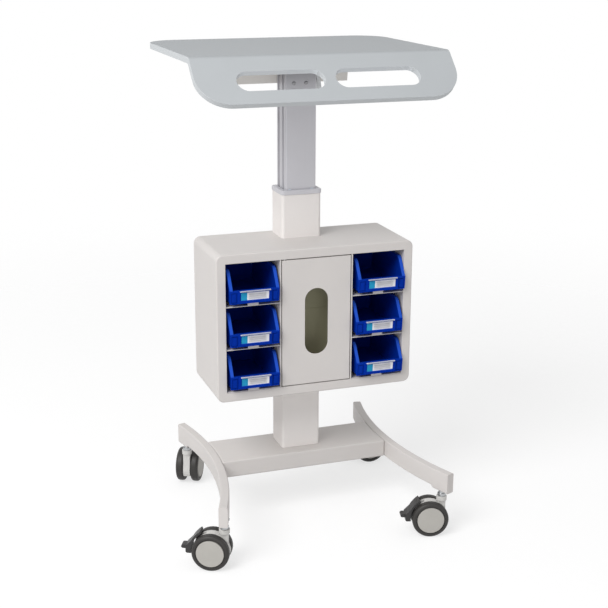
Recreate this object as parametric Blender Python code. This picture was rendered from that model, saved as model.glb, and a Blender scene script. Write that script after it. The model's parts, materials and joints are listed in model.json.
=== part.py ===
"""Medical laptop cart: a rolling base, a lifting column, a worktop and a bin cabinet.

Lengths are metres, +Z is up, the front of the cart faces -Y.  Everything hangs on one
empty, so that the finished cart stands on z = 0 with the middle of its box at the origin.
"""
import math

import bmesh
import bpy
from mathutils import Matrix, Vector

# Gap between pieces that touch, and between a piece that moves and its guide
TOUCH = 0.0003

# Casters
WHEEL_DIAMETER = 0.076
WHEEL_WIDTH = 0.0175
TYRE_SHOULDER = 0.0055
CAP_DIAMETER = 0.056
CAP_RISE = 0.0008
FORK_WIDTH = 0.015
FENDER_SET = 0.0015
HUB_RADIUS = 0.013
AXLE_DIAMETER = 0.008
AXLE_SEAT = 0.014
CASTER_TRAIL = 0.025
SWIVEL_BOSS_DIAMETER = 0.022
SWIVEL_DEPTH = 0.022
STEM_DIAMETER = 0.011
STEM_FLANGE_DIAMETER = 0.0175
STEM_FLANGE_HEIGHT = 0.0065
STEM_NECK_DIAMETER = 0.013
STEM_NECK_HEIGHT = 0.0055
STEM_GRIP = 0.026
CASTER_HEADROOM = 0.020
FENDER_END = 152
FORK_HOLLOW = (205, 275)
FORK_LEG_START = -28
CASTER_HEADINGS = {"front_left": -27, "front_right": -15, "back_left": -118, "back_right": 180}

# Brake pedals on the front casters
PEDAL_WIDTH = 0.026
PEDAL_SPAN = (119, 189)
PEDAL_TONGUE_SPAN = 9
PEDAL_EYE = 1.4
BRAKE_SLOT = (108, 160)
PEDAL_CLEARANCE = 0.0024
PEDAL_LIFT = 8
PEDAL_SHEET = 0.0047
PEDAL_REACH = 0.0235
PEDAL_TOE = 0.0075
PEDAL_TOE_RISE = 0.005
PEDAL_TOE_WIDTH = 0.017
PEDAL_TOE_ANGLE = 157
PEDAL_TAIL = 0.0135
PEDAL_TAIL_CORNER = 0.0025
PEDAL_TONGUE = 0.008
PEDAL_PIVOT_SET = 0.0065
PEDAL_PIVOT_ANGLE = 134
PEDAL_PIN_DIAMETER = 0.004

# Base
BEAM_HEIGHT = 0.038
BEAM_DEPTH = 0.120
BEAM_EDGE = 0.004
LEG_GAP = 0.365
LEG_THICKNESS = 0.018
LEG_BOW_RADIUS = 0.740
LEG_FRONT_REACH = 0.270
LEG_BACK_REACH = 0.179
LEG_EDGE = 0.0025
LEG_PAD_DROP = 0.005
LEG_PAD_LENGTH = 0.040
STEM_INSET_FRONT = 0.022
STEM_INSET_BACK = 0.023
BASE_SET_FORWARD = 0.0045
COLUMN_BOLT_DIAMETER = 0.012
COLUMN_BOLT_HEAD = 0.019
COLUMN_BOLT_HEAD_HEIGHT = 0.008
COLUMN_BOLT_BITE = 0.007

# Lifting column
COLUMN_WIDTH = 0.0845
COLUMN_DEPTH = 0.069
COLUMN_CORNER = 0.006
COLUMN_WALL = 0.0025
COLUMN_FOOT = 0.008
COLUMN_STANDOUT = 0.0903
COLLAR_RIM = 0.009
COLLAR_LIP = 0.0015
COLLAR_SKIRT = 0.055
INNER_WIDTH = 0.0665
INNER_DEPTH = 0.056
INNER_CORNER = 0.004
INNER_HOLLOW_WIDTH = 0.050
INNER_HOLLOW_DEPTH = 0.049
INNER_EXPOSURE = 0.2680
GROOVE_WIDTH = 0.009
GROOVE_DEPTH = 0.003
GROOVE_OFFSET = 0.0135
GLIDE_HEIGHT = 0.060
GLIDE_LIP = 0.003
LIFT_DOWN = 0.180
LIFT_END_ROOM = 0.012
GAS_CYLINDER_DIAMETER = 0.028
GAS_CYLINDER_WALL = 0.002
GAS_CYLINDER_LENGTH = 0.420
GAS_ROD_DIAMETER = 0.010
GAS_STUB_DIAMETER = 0.008
PLUG_HEIGHT = 0.016
PLUG_DROP = 0.0425
RELEASE_PIN_DIAMETER = 0.004
RELEASE_PIN_LENGTH = 0.030
RELEASE_PIN_RISE = 0.008
RELEASE_PIN_STROKE = 0.0072

# Head of the column: bracket, release lever, worktop
BRACKET_WIDTH = 0.248
BRACKET_TAPER = 0.003
BRACKET_DEPTH = 0.150
BRACKET_SHEET = 0.004
BRACKET_FLANGE = 0.058
BRACKET_RIB_SPACING = 0.150
LEVER_WIDTH = 0.018
LEVER_SHEET = 0.005
LEVER_REACH = 0.040
LEVER_DROP = 0.062
LEVER_SPLAY = 0.013
LEVER_PIN_DIAMETER = 0.004
LEVER_EAR = 0.003
LEVER_EAR_WIDTH = 0.011
BRACKET_RIB_INSET = 0.015
WORKTOP_WIDTH = 0.526
WORKTOP_SHEET = 0.012
WORKTOP_BACK = 0.2305
WORKTOP_FRONT = 0.1485
WORKTOP_SIDE_SHIFT = 0.0025
WORKTOP_BACK_CORNER = 0.067
WORKTOP_EDGE = 0.002
FLAP_LENGTH = 0.112
FLAP_ANGLE = 45
FLAP_BEND = 0.020
FLAP_CORNER = 0.066
SLOT_LENGTH = 0.173
SLOT_HEIGHT = 0.045
SLOT_SPACING = 0.0215
SLOT_DROP = 0.0375

# Bins
BIN_WIDTH = 0.1025
BIN_LENGTH = 0.178
BIN_HEIGHT = 0.066
BIN_WALL = 0.002
BIN_FLANGE = 0.0065
BIN_FLANGE_DEPTH = 0.004
BIN_RIM = 0.002
BIN_DRAFT = 0.001
BIN_CORNER = 0.006
BIN_FRONT_HEIGHT = 0.0282
BIN_LEAN = 0.003
BIN_SLOPE_RUN = 0.024
BIN_SHOULDER = 0.014
BIN_OVERHANG = 0.008
BIN_LABEL_WIDTH = 0.070
BIN_LABEL_BORDER = 0.0055
BIN_LABEL_SILL = 0.0078
BIN_LABEL_RISE = 0.0025
BIN_LABEL_POCKET = 0.0012

# Cabinet
CABINET_CLEARANCE = 0.1579
CABINET_FRAME = 0.0193
CABINET_CORNER = 0.014
CABINET_FILLET = 0.003
CABINET_SHEET = 0.0015
BIN_ROWS = 3
BIN_SIDE_ROOM = 0.00505
BIN_HEAD_ROOM = 0.0144
BIN_REAR_ROOM = 0.0065
# Loose bins stand off the middle of their bays, as a share of the room beside them
BIN_SIDE_SET = {"right_bin_top": 0.75, "right_bin_bottom": 0.5}
PARTITION_SHEET = 0.0025
SHELF_SHEET = 0.0015
SHELF_TAB_WIDTH = 0.023
SHELF_TAB_HEIGHT = 0.007
COMPARTMENT_DEPTH = 0.092
CABINET_SCREW_DIAMETER = 0.005
CABINET_SCREW_HEAD = 0.009
CABINET_SCREW_HEAD_HEIGHT = 0.003
CABINET_SCREW_INSET = 0.045

# Door
DOOR_WIDTH = 0.1465
DOOR_GAP = 0.002
DOOR_THICKNESS = 0.012
DOOR_STILE = 0.014
DOOR_HEEL = 0.005
DOOR_PIN_DIAMETER = 0.005
DOOR_PIN_INSET = 0.0065
DOOR_PIN_SET = 0.005
DOOR_PIN_TAIL = 0.005
OVAL_WIDTH = 0.0495
OVAL_HEIGHT = 0.1396
CATCH_WIDTH = 0.024
CATCH_DEPTH = 0.010
CATCH_HEIGHT = 0.012

# Levels and places that follow from the sizes above
WHEEL_RADIUS = WHEEL_DIAMETER / 2
AXLE_Z = WHEEL_RADIUS
PAD_Z = WHEEL_DIAMETER + CASTER_HEADROOM
FORK_TOP = PAD_Z - STEM_NECK_HEIGHT - STEM_FLANGE_HEIGHT - 2 * TOUCH
LEG_Z = PAD_Z + LEG_PAD_DROP
BEAM_TOP = LEG_Z + BEAM_HEIGHT
COLUMN_Z = BEAM_TOP + TOUCH
FOOT_TOP = COLUMN_Z + COLUMN_FOOT
BAY_WIDTH = BIN_WIDTH + 2 * BIN_SIDE_ROOM
DOOR_OPENING = DOOR_WIDTH + 2 * DOOR_GAP
CABINET_WIDTH = 2 * (CABINET_FRAME + BAY_WIDTH + PARTITION_SHEET) + DOOR_OPENING
ROW_HEIGHT = SHELF_SHEET + SHELF_TAB_HEIGHT + 2 * TOUCH + BIN_HEIGHT + BIN_HEAD_ROOM
OPENING_HEIGHT = BIN_ROWS * ROW_HEIGHT
CABINET_HEIGHT = OPENING_HEIGHT + 2 * CABINET_FRAME
CABINET_Z = BEAM_TOP + CABINET_CLEARANCE
CABINET_TOP = CABINET_Z + CABINET_HEIGHT
FLOOR_Z = CABINET_Z + CABINET_FRAME
CEILING_Z = FLOOR_Z + OPENING_HEIGHT
LINER_Y = -(COLUMN_DEPTH / 2 + TOUCH + CABINET_SHEET)
CABINET_FRONT = LINER_Y - COMPARTMENT_DEPTH
BIN_Y = CABINET_FRONT - BIN_OVERHANG
BIN_FLOOR_LENGTH = BIN_LENGTH - BIN_LEAN - BIN_LABEL_RISE - 2 * BIN_RIM
BIN_BACK = BIN_Y + BIN_FLOOR_LENGTH + BIN_RIM
SHELL_BACK = max(BIN_BACK, COLUMN_DEPTH / 2) + BIN_REAR_ROOM
COLUMN_TOP = CABINET_TOP + COLUMN_STANDOUT
COLLAR_TOP = COLUMN_TOP + TOUCH + COLLAR_RIM
INNER_TOP = COLLAR_TOP + INNER_EXPOSURE
INNER_Z = FOOT_TOP + LIFT_END_ROOM + LIFT_DOWN + GLIDE_LIP
PLUG_TOP = INNER_TOP - PLUG_DROP
BRACKET_Z = INNER_TOP + TOUCH
WORKTOP_Z = BRACKET_Z + BRACKET_SHEET + TOUCH
LEVER_Z = PLUG_TOP + RELEASE_PIN_RISE + TOUCH + LEVER_SHEET / 2

SMOOTH_ANGLE = math.radians(35)


def clear_scene():
    for obj in list(bpy.data.objects):
        bpy.data.objects.remove(obj, do_unlink=True)


def finish(name, colour, roughness, metallic=0.0):
    """One plain material."""
    material = bpy.data.materials.new(name)
    material.use_nodes = True
    shader = material.node_tree.nodes["Principled BSDF"]
    shader.inputs["Base Color"].default_value = (*colour, 1.0)
    shader.inputs["Roughness"].default_value = roughness
    shader.inputs["Metallic"].default_value = metallic
    material.diffuse_color = (*colour, 1.0)
    return material


def polar(centre, radius, degrees):
    angle = math.radians(degrees)
    return (centre[0] + radius * math.cos(angle), centre[1] + radius * math.sin(angle))


def arc(centre, radius, start, end, steps):
    """Points along a circle, both ends included, angles in degrees."""
    return [polar(centre, radius, start + (end - start) * i / steps) for i in range(steps + 1)]


def rounded_rect(width, height, radius, steps=3):
    """Counter-clockwise outline about the origin."""
    a, b = width / 2 - radius, height / 2 - radius
    points = []
    for centre, start in (((a, -b), -90), ((a, b), 0), ((-a, b), 90), ((-a, -b), 180)):
        points += arc(centre, radius, start, start + 90, steps)
    return points


def stadium(length, height, steps=8):
    """Long round-ended outline about the origin, long side along the first axis."""
    half, radius = (length - height) / 2, height / 2
    return arc((half, 0), radius, -90, 90, steps) + arc((-half, 0), radius, 90, 270, steps)


def mesh_of(name, points, faces):
    mesh = bpy.data.meshes.new(name)
    form = bmesh.new()
    corners = [form.verts.new(p) for p in points]
    for face in faces:
        form.faces.new([corners[i] for i in face])
    bmesh.ops.recalc_face_normals(form, faces=form.faces)
    form.to_mesh(mesh)
    form.free()
    return mesh


def loft(name, loops, ring=False):
    """Skin through loops of equal length: capped at both ends, or closed on itself."""
    size = len(loops[0])
    points = [p for loop in loops for p in loop]
    faces = []
    pairs = [(k, k + 1) for k in range(len(loops) - 1)]
    if ring:
        pairs.append((len(loops) - 1, 0))
    else:
        faces += [list(range(size)), list(range(len(points) - size, len(points)))]
    for low, high in pairs:
        for i in range(size):
            j = (i + 1) % size
            faces.append((low * size + i, low * size + j, high * size + j, high * size + i))
    return mesh_of(name, points, faces)


AXES = {
    "x": lambda a, b, c: (c, a, b),
    "y": lambda a, b, c: (a, c, b),
    "z": lambda a, b, c: (a, b, c),
}


def prism(name, outline, low, high, axis="z"):
    """Straight extrusion of an outline along one axis."""
    put = AXES[axis]
    return loft(name, [[put(a, b, c) for a, b in outline] for c in (low, high)])


def box(name, low, high):
    outline = [(low[0], low[1]), (high[0], low[1]), (high[0], high[1]), (low[0], high[1])]
    return prism(name, outline, low[2], high[2])


def lathe(name, profile, segments=24, axis="z"):
    """Turned body; the profile runs from the axis, round the outside, back to the axis."""
    put = AXES[axis]
    points, rings = [], []
    for radius, height in profile:
        if radius == 0:
            rings.append([len(points)])
            points.append(put(0, 0, height))
            continue
        rings.append(list(range(len(points), len(points) + segments)))
        for i in range(segments):
            a, b = polar((0, 0), radius, 360 * i / segments)
            points.append(put(a, b, height))
    faces = []
    for low, high in zip(rings, rings[1:]):
        for i in range(segments):
            j = (i + 1) % segments
            corners = (low[i % len(low)], low[j % len(low)], high[j % len(high)], high[i % len(high)])
            faces.append(list(dict.fromkeys(corners)))
    return mesh_of(name, points, faces)


def rod(name, radius, low, high, segments=12, axis="z"):
    return lathe(name, [(0, low), (radius, low), (radius, high), (0, high)], segments, axis)


def headed_rod(name, radius, head_radius, tip, shoulder, top, segments=8, axis="z"):
    """Plain screw: a shank from tip to shoulder and a head from shoulder to top."""
    profile = [(0, tip), (radius, tip), (radius, shoulder), (head_radius, shoulder)]
    return lathe(name, profile + [(head_radius, top), (0, top)], segments, axis)


def group(name, mesh, places):
    """Copies of one body, kept as separate bodies of one mesh."""
    form = bmesh.new()
    for place in places:
        start = len(form.verts)
        form.from_mesh(mesh)
        form.verts.ensure_lookup_table()
        bmesh.ops.translate(form, verts=form.verts[start:], vec=Vector(place))
    result = bpy.data.meshes.new(name)
    form.to_mesh(result)
    form.free()
    return result


def put(name, mesh, material, parent, at=(0, 0, 0)):
    """Link a mesh as a named object."""
    obj = bpy.data.objects.new(name, mesh)
    bpy.context.collection.objects.link(obj)
    obj.parent = parent
    obj.location = at
    if material is not None and not mesh.materials:
        mesh.materials.append(material)
    return obj


def hub(name, parent, at=(0, 0, 0), turn=0.0):
    """Empty on the axis that an assembly moves on; turn is about the upright axis, in degrees."""
    empty = bpy.data.objects.new(name, None)
    bpy.context.collection.objects.link(empty)
    empty.parent = parent
    empty.location = at
    empty.rotation_euler = (0, 0, math.radians(turn))
    return empty


def combine(obj, mesh, operation="DIFFERENCE"):
    """Boolean with a hidden tool that is placed like the object it works on."""
    tool = bpy.data.objects.new(mesh.name, mesh)
    bpy.context.collection.objects.link(tool)
    tool.parent = obj
    tool.hide_render = True
    tool.display_type = "WIRE"
    modifier = obj.modifiers.new(mesh.name, "BOOLEAN")
    modifier.operation = operation
    modifier.solver = "EXACT"
    modifier.object = tool


def soften(obj, width, segments=2, angle=50):
    """Rounded edges wherever two faces meet more sharply than the angle."""
    modifier = obj.modifiers.new("soft_edges", "BEVEL")
    modifier.width = width
    modifier.segments = segments
    modifier.limit_method = "ANGLE"
    modifier.angle_limit = math.radians(angle)


def smooth(mesh):
    mesh.shade_smooth()
    mesh.set_sharp_from_angle(angle=SMOOTH_ANGLE)
    return mesh


def settled(obj, name):
    """Mesh of an object after its modifiers, for copies that share it."""
    graph = bpy.context.evaluated_depsgraph_get()
    mesh = bpy.data.meshes.new_from_object(obj.evaluated_get(graph))
    mesh.name = name
    for tool in list(obj.children):
        bpy.data.objects.remove(tool, do_unlink=True)
    bpy.data.objects.remove(obj, do_unlink=True)
    return smooth(mesh)


def leg_centre_x(y, inset):
    """Distance from the middle of the cart to a point inset from a leg's inner face."""
    bow_centre = LEG_GAP / 2 + LEG_BOW_RADIUS
    return bow_centre - math.sqrt((LEG_BOW_RADIUS - inset) ** 2 - y ** 2)


def stem_place(corner):
    """Swivel axis of a caster, on the middle line of its leg."""
    end, side = corner.split("_")
    y = STEM_INSET_FRONT - LEG_FRONT_REACH if end == "front" else LEG_BACK_REACH - STEM_INSET_BACK
    x = leg_centre_x(y, LEG_THICKNESS / 2)
    return (x if side == "right" else -x, y)


def leg_mesh(side):
    """Flat bar bowed towards the middle, cut square, with a pad under each end for the caster stem."""
    sign = 1 if side == "right" else -1
    pad_slope = LEG_PAD_DROP
    bow_centre = LEG_GAP / 2 + LEG_BOW_RADIUS
    middle = LEG_BOW_RADIUS - LEG_THICKNESS / 2
    start, end = -LEG_FRONT_REACH, LEG_BACK_REACH
    stations = [start, start + LEG_PAD_LENGTH, start + LEG_PAD_LENGTH + pad_slope]
    inner_start, inner_end = stations[-1], end - LEG_PAD_LENGTH - pad_slope
    steps = 10
    stations += [inner_start + (inner_end - inner_start) * i / steps for i in range(1, steps + 1)]
    stations += [end - LEG_PAD_LENGTH, end]
    section = rounded_rect(LEG_THICKNESS, BEAM_HEIGHT, LEG_EDGE, 2)
    centre_z = LEG_Z + BEAM_HEIGHT / 2
    loops = []
    for y in stations:
        padded = y <= start + LEG_PAD_LENGTH or y >= end - LEG_PAD_LENGTH
        drop = LEG_PAD_DROP if padded else 0.0
        angle = math.asin(y / middle)
        loop = []
        for across, up in section:
            radius = middle - across
            x = bow_centre - radius * math.cos(angle)
            z = centre_z + up - (drop if up < 0 else 0.0)
            loop.append((sign * x, radius * math.sin(angle), z))
        loops.append(loop)
    return loft(side + "_leg", loops)


def build_base(base, paint, zinc):
    """Cross beam between two bowed legs."""
    half_depth = BEAM_DEPTH / 2
    steps = 8
    side = []
    for i in range(steps + 1):
        y = -half_depth + BEAM_DEPTH * i / steps
        side.append((leg_centre_x(y, 0) - TOUCH, y))
    plan = side + [(-x, y) for x, y in reversed(side)]
    beam = put("cross_beam", prism("cross_beam", plan, LEG_Z, BEAM_TOP), paint, base)
    soften(beam, BEAM_EDGE, 2, 80)
    radius, head = COLUMN_BOLT_DIAMETER / 2, COLUMN_BOLT_HEAD / 2
    tip = COLUMN_Z + COLUMN_BOLT_BITE
    sunk = LEG_Z + COLUMN_BOLT_HEAD_HEIGHT + TOUCH
    drill = headed_rod("bolt_drill", radius + TOUCH, head + TOUCH, tip + TOUCH, sunk, LEG_Z - TOUCH, 16)
    combine(beam, group("beam_drill", drill, [(0, BASE_SET_FORWARD, 0)]))
    bolt = headed_rod("column_bolt", radius, head, tip, sunk - TOUCH, LEG_Z + TOUCH, 16)
    put("column_bolt", smooth(bolt), zinc, base, (0, BASE_SET_FORWARD, 0))
    for name in ("left", "right"):
        leg = put(name + "_leg", leg_mesh(name), paint, base)
        for end in ("front", "back"):
            x, y = stem_place(end + "_" + name)
            bore = rod("stem_bore", STEM_DIAMETER / 2 + TOUCH, PAD_Z - TOUCH, PAD_Z + STEM_GRIP + TOUCH)
            combine(leg, group(name + "_" + end + "_stem_bore", bore, [(x, y, 0)]))
    return drill


def ring_loops(outer, inner, low, high):
    """Loops of a straight sleeve, for a closed loft."""
    return [
        [(a, b, low) for a, b in outer], [(a, b, high) for a, b in outer],
        [(a, b, high) for a, b in inner], [(a, b, low) for a, b in inner],
    ]


def inner_outline():
    """Section of the lifting profile: two grooves down each narrow side."""
    half_width, half_depth = INNER_WIDTH / 2, INNER_DEPTH / 2
    bottom = half_width - GROOVE_DEPTH
    right = arc((half_width - INNER_CORNER, INNER_CORNER - half_depth), INNER_CORNER, -90, 0, 3)
    for middle in (-GROOVE_OFFSET, GROOVE_OFFSET):
        low, high = middle - GROOVE_WIDTH / 2, middle + GROOVE_WIDTH / 2
        right += [(half_width, low), (bottom, low), (bottom, high), (half_width, high)]
    right += arc((half_width - INNER_CORNER, half_depth - INNER_CORNER), INNER_CORNER, 0, 90, 3)
    return right + [(-a, -b) for a, b in right]


def build_column(root, head, paint, plastic, aluminium, steel, zinc, drill):
    """Fixed tube, collar, lifting profile with its glide, and the gas spring inside."""
    outer = rounded_rect(COLUMN_WIDTH, COLUMN_DEPTH, COLUMN_CORNER, 4)
    cavity_width, cavity_depth = COLUMN_WIDTH - 2 * COLUMN_WALL, COLUMN_DEPTH - 2 * COLUMN_WALL
    cavity = rounded_rect(cavity_width, cavity_depth, COLUMN_CORNER - COLUMN_WALL, 4)
    loops = ring_loops(outer, cavity, COLUMN_Z, COLUMN_TOP)
    loops[3] = [(a, b, FOOT_TOP) for a, b in cavity]
    column = put("outer_column", smooth(loft("outer_column", loops)), paint, root)
    combine(column, drill)

    guide_width, guide_depth = INNER_WIDTH + 2 * TOUCH, INNER_DEPTH + 2 * TOUCH
    guide = rounded_rect(guide_width, guide_depth, INNER_CORNER, 4)
    skirt = rounded_rect(
        cavity_width - 2 * TOUCH, cavity_depth - 2 * TOUCH, COLUMN_CORNER - COLUMN_WALL - TOUCH, 4)
    lip = rounded_rect(
        COLUMN_WIDTH + 2 * COLLAR_LIP, COLUMN_DEPTH + 2 * COLLAR_LIP, COLUMN_CORNER + COLLAR_LIP, 4)
    seat = COLUMN_TOP + TOUCH
    edge = COLLAR_LIP
    levels = [
        (guide, seat - COLLAR_SKIRT), (skirt, seat - COLLAR_SKIRT), (skirt, seat), (lip, seat),
        (lip, COLLAR_TOP - edge), (outer, COLLAR_TOP), (guide, COLLAR_TOP),
    ]
    collar = loft("column_collar", [[(a, b, z) for a, b in loop] for loop, z in levels], ring=True)
    put("column_collar", smooth(collar), plastic, root)

    inner = put("inner_column", prism("inner_column", inner_outline(), INNER_Z, INNER_TOP), aluminium, head)
    smooth(inner.data)
    hollow = rounded_rect(INNER_HOLLOW_WIDTH, INNER_HOLLOW_DEPTH, INNER_CORNER, 2)
    combine(inner, prism("inner_hollow", hollow, INNER_Z - TOUCH, INNER_TOP + TOUCH))
    window = LEVER_WIDTH / 2 + 2 * TOUCH
    reach = INNER_WIDTH / 2
    combine(inner, box(
        "lever_window", (0, -window, PLUG_TOP + TOUCH), (reach + TOUCH, window, INNER_TOP + TOUCH)))

    lip_inside = rounded_rect(INNER_HOLLOW_WIDTH, INNER_HOLLOW_DEPTH, INNER_CORNER, 4)
    low = INNER_Z - TOUCH
    levels = [
        (lip_inside, low - GLIDE_LIP), (skirt, low - GLIDE_LIP), (skirt, low - GLIDE_LIP + GLIDE_HEIGHT),
        (guide, low - GLIDE_LIP + GLIDE_HEIGHT), (guide, low), (lip_inside, low),
    ]
    glide = loft("lower_glide", [[(a, b, z) for a, b in loop] for loop, z in levels], ring=True)
    put("lower_glide", smooth(glide), plastic, head)

    plug_width, plug_depth = INNER_HOLLOW_WIDTH - 2 * TOUCH, INNER_HOLLOW_DEPTH - 2 * TOUCH
    outline = rounded_rect(plug_width, plug_depth, INNER_CORNER, 2)
    plug = put("column_plug", prism("column_plug", outline, PLUG_TOP - PLUG_HEIGHT, PLUG_TOP), aluminium, head)
    stub = GAS_STUB_DIAMETER / 2
    combine(plug, rod("stub_hole", stub + TOUCH, PLUG_TOP - PLUG_HEIGHT - TOUCH, PLUG_TOP + TOUCH))

    radius, bore = GAS_CYLINDER_DIAMETER / 2, GAS_CYLINDER_DIAMETER / 2 - GAS_CYLINDER_WALL
    stem, low = GAS_ROD_DIAMETER / 2, FOOT_TOP + TOUCH
    top, wall = low + GAS_CYLINDER_LENGTH, GAS_CYLINDER_WALL
    gland = 4 * wall
    profile = [
        (0, low), (radius, low), (radius, top), (stem + TOUCH, top), (stem + TOUCH, top - gland),
        (bore, top - gland), (bore, low + wall), (0, low + wall),
    ]
    put("gas_spring_cylinder", smooth(lathe("gas_spring_cylinder", profile, 20)), steel, root)

    piston, shoulder = bore - TOUCH, PLUG_TOP - PLUG_HEIGHT - TOUCH
    foot = low + wall + LIFT_END_ROOM + LIFT_DOWN
    pin, pin_tip = RELEASE_PIN_DIAMETER / 2, PLUG_TOP + RELEASE_PIN_RISE - RELEASE_PIN_LENGTH
    pin_floor = pin_tip - RELEASE_PIN_STROKE - TOUCH
    profile = [
        (0, foot), (piston, foot), (piston, foot + 2 * gland), (stem, foot + 2 * gland), (stem, shoulder),
        (stub, shoulder), (stub, PLUG_TOP - TOUCH), (pin + TOUCH, PLUG_TOP - TOUCH),
        (pin + TOUCH, pin_floor), (0, pin_floor),
    ]
    put("gas_spring_rod", smooth(lathe("gas_spring_rod", profile, 16)), steel, head)
    put("release_pin", smooth(rod("release_pin", pin, pin_tip, PLUG_TOP + RELEASE_PIN_RISE)), zinc, head)


def bend_rows():
    """Where the bend starts along the worktop's top, and how long it is."""
    bend = math.radians(FLAP_ANGLE)
    flat = WORKTOP_BACK + WORKTOP_FRONT - FLAP_BEND * math.tan(bend / 2)
    return flat, FLAP_BEND * bend


def sheet_point(x, travel, depth):
    """Point of the bent worktop: travel runs along its top from the back edge, depth into it."""
    flat, curve = bend_rows()
    turned = min(max(travel - flat, 0.0), curve)
    straight = min(travel, flat)
    rest = max(travel - flat - curve, 0.0)
    angle = turned / FLAP_BEND
    radius = FLAP_BEND - depth
    y = WORKTOP_BACK - straight - radius * math.sin(angle) - rest * math.cos(angle)
    z = WORKTOP_Z + WORKTOP_SHEET - FLAP_BEND + radius * math.cos(angle) - rest * math.sin(angle)
    return (x, y, z)


def worktop_mesh():
    """Flat plate with round corners, handle slots and soft edges, then bent along its front."""
    flat, curve = bend_rows()
    tangent = FLAP_BEND * math.tan(math.radians(FLAP_ANGLE) / 2)
    length = flat + curve + FLAP_LENGTH - tangent
    half, back, front = WORKTOP_WIDTH / 2, WORKTOP_BACK_CORNER, FLAP_CORNER
    plan = arc((half - back, back), back, -90, 0, 5)
    plan += arc((half - front, length - front), front, 0, 90, 8)
    plan += arc((front - half, length - front), front, 90, 180, 8)
    plan += arc((back - half, back), back, 180, 270, 5)
    sheet = WORKTOP_SHEET
    plate = put("worktop_form", prism("worktop_form", plan, -sheet, 0), None, None)
    middle = flat + curve - tangent + SLOT_DROP + SLOT_HEIGHT / 2
    for sign in (-1, 1):
        x = sign * (SLOT_SPACING + SLOT_LENGTH) / 2
        slot = [(x + a, middle + b) for a, b in stadium(SLOT_LENGTH, SLOT_HEIGHT)]
        combine(plate, prism("handle_slot", slot, -2 * sheet, sheet))
    soften(plate, WORKTOP_EDGE)
    mesh = settled(plate, "worktop")
    form = bmesh.new()
    form.from_mesh(mesh)
    steps = 5
    for i in range(steps + 1):
        whole = form.verts[:] + form.edges[:] + form.faces[:]
        row = (0, flat + curve * i / steps, 0)
        bmesh.ops.bisect_plane(form, geom=whole, plane_co=row, plane_no=(0, 1, 0))
    for vertex in form.verts:
        x, travel, height = vertex.co
        vertex.co = sheet_point(x, travel, -height)
    bmesh.ops.reverse_faces(form, faces=form.faces)
    form.to_mesh(mesh)
    form.free()
    return smooth(mesh)


def bracket_mesh():
    """Plate under the worktop with a deep flange down the back of the column."""
    back = INNER_DEPTH / 2 + TOUCH
    low, high = BRACKET_Z, BRACKET_Z + BRACKET_SHEET
    front, rear = -INNER_DEPTH / 2, BRACKET_DEPTH - INNER_DEPTH / 2
    foot = low - BRACKET_FLANGE
    profile = [
        (front, high), (front, low), (back, low), (back, foot), (back + BRACKET_SHEET, foot),
        (back + BRACKET_SHEET, low), (rear, low), (rear, high),
    ]
    half = BRACKET_WIDTH / 2
    loops = []
    for sign in (-1, 1):
        loops.append([(sign * (half - (BRACKET_TAPER if z == foot else 0)), y, z) for y, z in profile])
    return loft("worktop_bracket", loops)


def lever_mesh():
    """Bent strip: an arm over the release pin and a finger paddle that hangs beside the column."""
    half = LEVER_SHEET / 2
    pivot = LEVER_REACH
    out = pivot + LEVER_SPLAY
    nose = -RELEASE_PIN_DIAMETER
    profile = [
        (nose, -half), (pivot - half, -half), (out - half, -LEVER_DROP), (out + half, -LEVER_DROP),
        (pivot + 2 * half, half), (nose, half),
    ]
    outline = [(x - pivot, z) for x, z in profile]
    return prism("release_lever", outline, -LEVER_WIDTH / 2, LEVER_WIDTH / 2, "y")


def build_head(head, paint, steel, zinc, surface):
    """Bracket, release lever and worktop on top of the lifting profile."""
    bracket = put("worktop_bracket", bracket_mesh(), paint, head)
    flange_back = INNER_DEPTH / 2 + TOUCH + BRACKET_SHEET
    rib_rear = BRACKET_DEPTH - INNER_DEPTH / 2 - BRACKET_RIB_INSET
    rib_foot = BRACKET_Z - BRACKET_FLANGE + 2 * BRACKET_SHEET
    overlap = BRACKET_SHEET / 2
    rib = prism("rib", [
        (flange_back - overlap, rib_foot), (flange_back, rib_foot), (rib_rear, BRACKET_Z),
        (rib_rear, BRACKET_Z + overlap), (flange_back - overlap, BRACKET_Z + overlap),
    ], -BRACKET_SHEET / 2, BRACKET_SHEET / 2, "x")
    spots = [(sign * BRACKET_RIB_SPACING / 2, 0, 0) for sign in (-1, 1)]
    combine(bracket, group("bracket_ribs", rib, spots), "UNION")
    ear_inside = LEVER_WIDTH / 2 + TOUCH
    ear_low = LEVER_Z - LEVER_EAR_WIDTH / 2
    ear_x = (LEVER_REACH - LEVER_EAR_WIDTH / 2, LEVER_REACH + LEVER_EAR_WIDTH / 2)
    ear = box("ear", (ear_x[0], 0, ear_low), (ear_x[1], LEVER_EAR, BRACKET_Z + overlap))
    spots = [(0, ear_inside, 0), (0, -ear_inside - LEVER_EAR, 0)]
    combine(bracket, group("lever_ears", ear, spots), "UNION")
    pin = LEVER_PIN_DIAMETER / 2
    pin_end = ear_inside + LEVER_EAR
    place = (LEVER_REACH, 0, LEVER_Z)
    hole = rod("pin_hole", pin + TOUCH, -pin_end - TOUCH, pin_end + TOUCH, 12, "y")
    combine(bracket, group("ear_holes", hole, [place]))
    put("lever_pivot_pin", smooth(rod("lever_pivot_pin", pin, -pin_end, pin_end, 12, "y")), zinc, head, place)
    lever = put("release_lever", lever_mesh(), steel, head, place)
    combine(lever, group("lever_bore", hole, [(0, 0, 0)]))

    put("worktop", worktop_mesh(), surface, head, (WORKTOP_SIDE_SHIFT, 0, 0))


def cabinet_outline(inset, corner):
    width, height = CABINET_WIDTH - 2 * inset, CABINET_HEIGHT - 2 * inset
    middle = CABINET_Z + CABINET_HEIGHT / 2
    return [(x, middle + z) for x, z in rounded_rect(width, height, corner, 4)]


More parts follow.
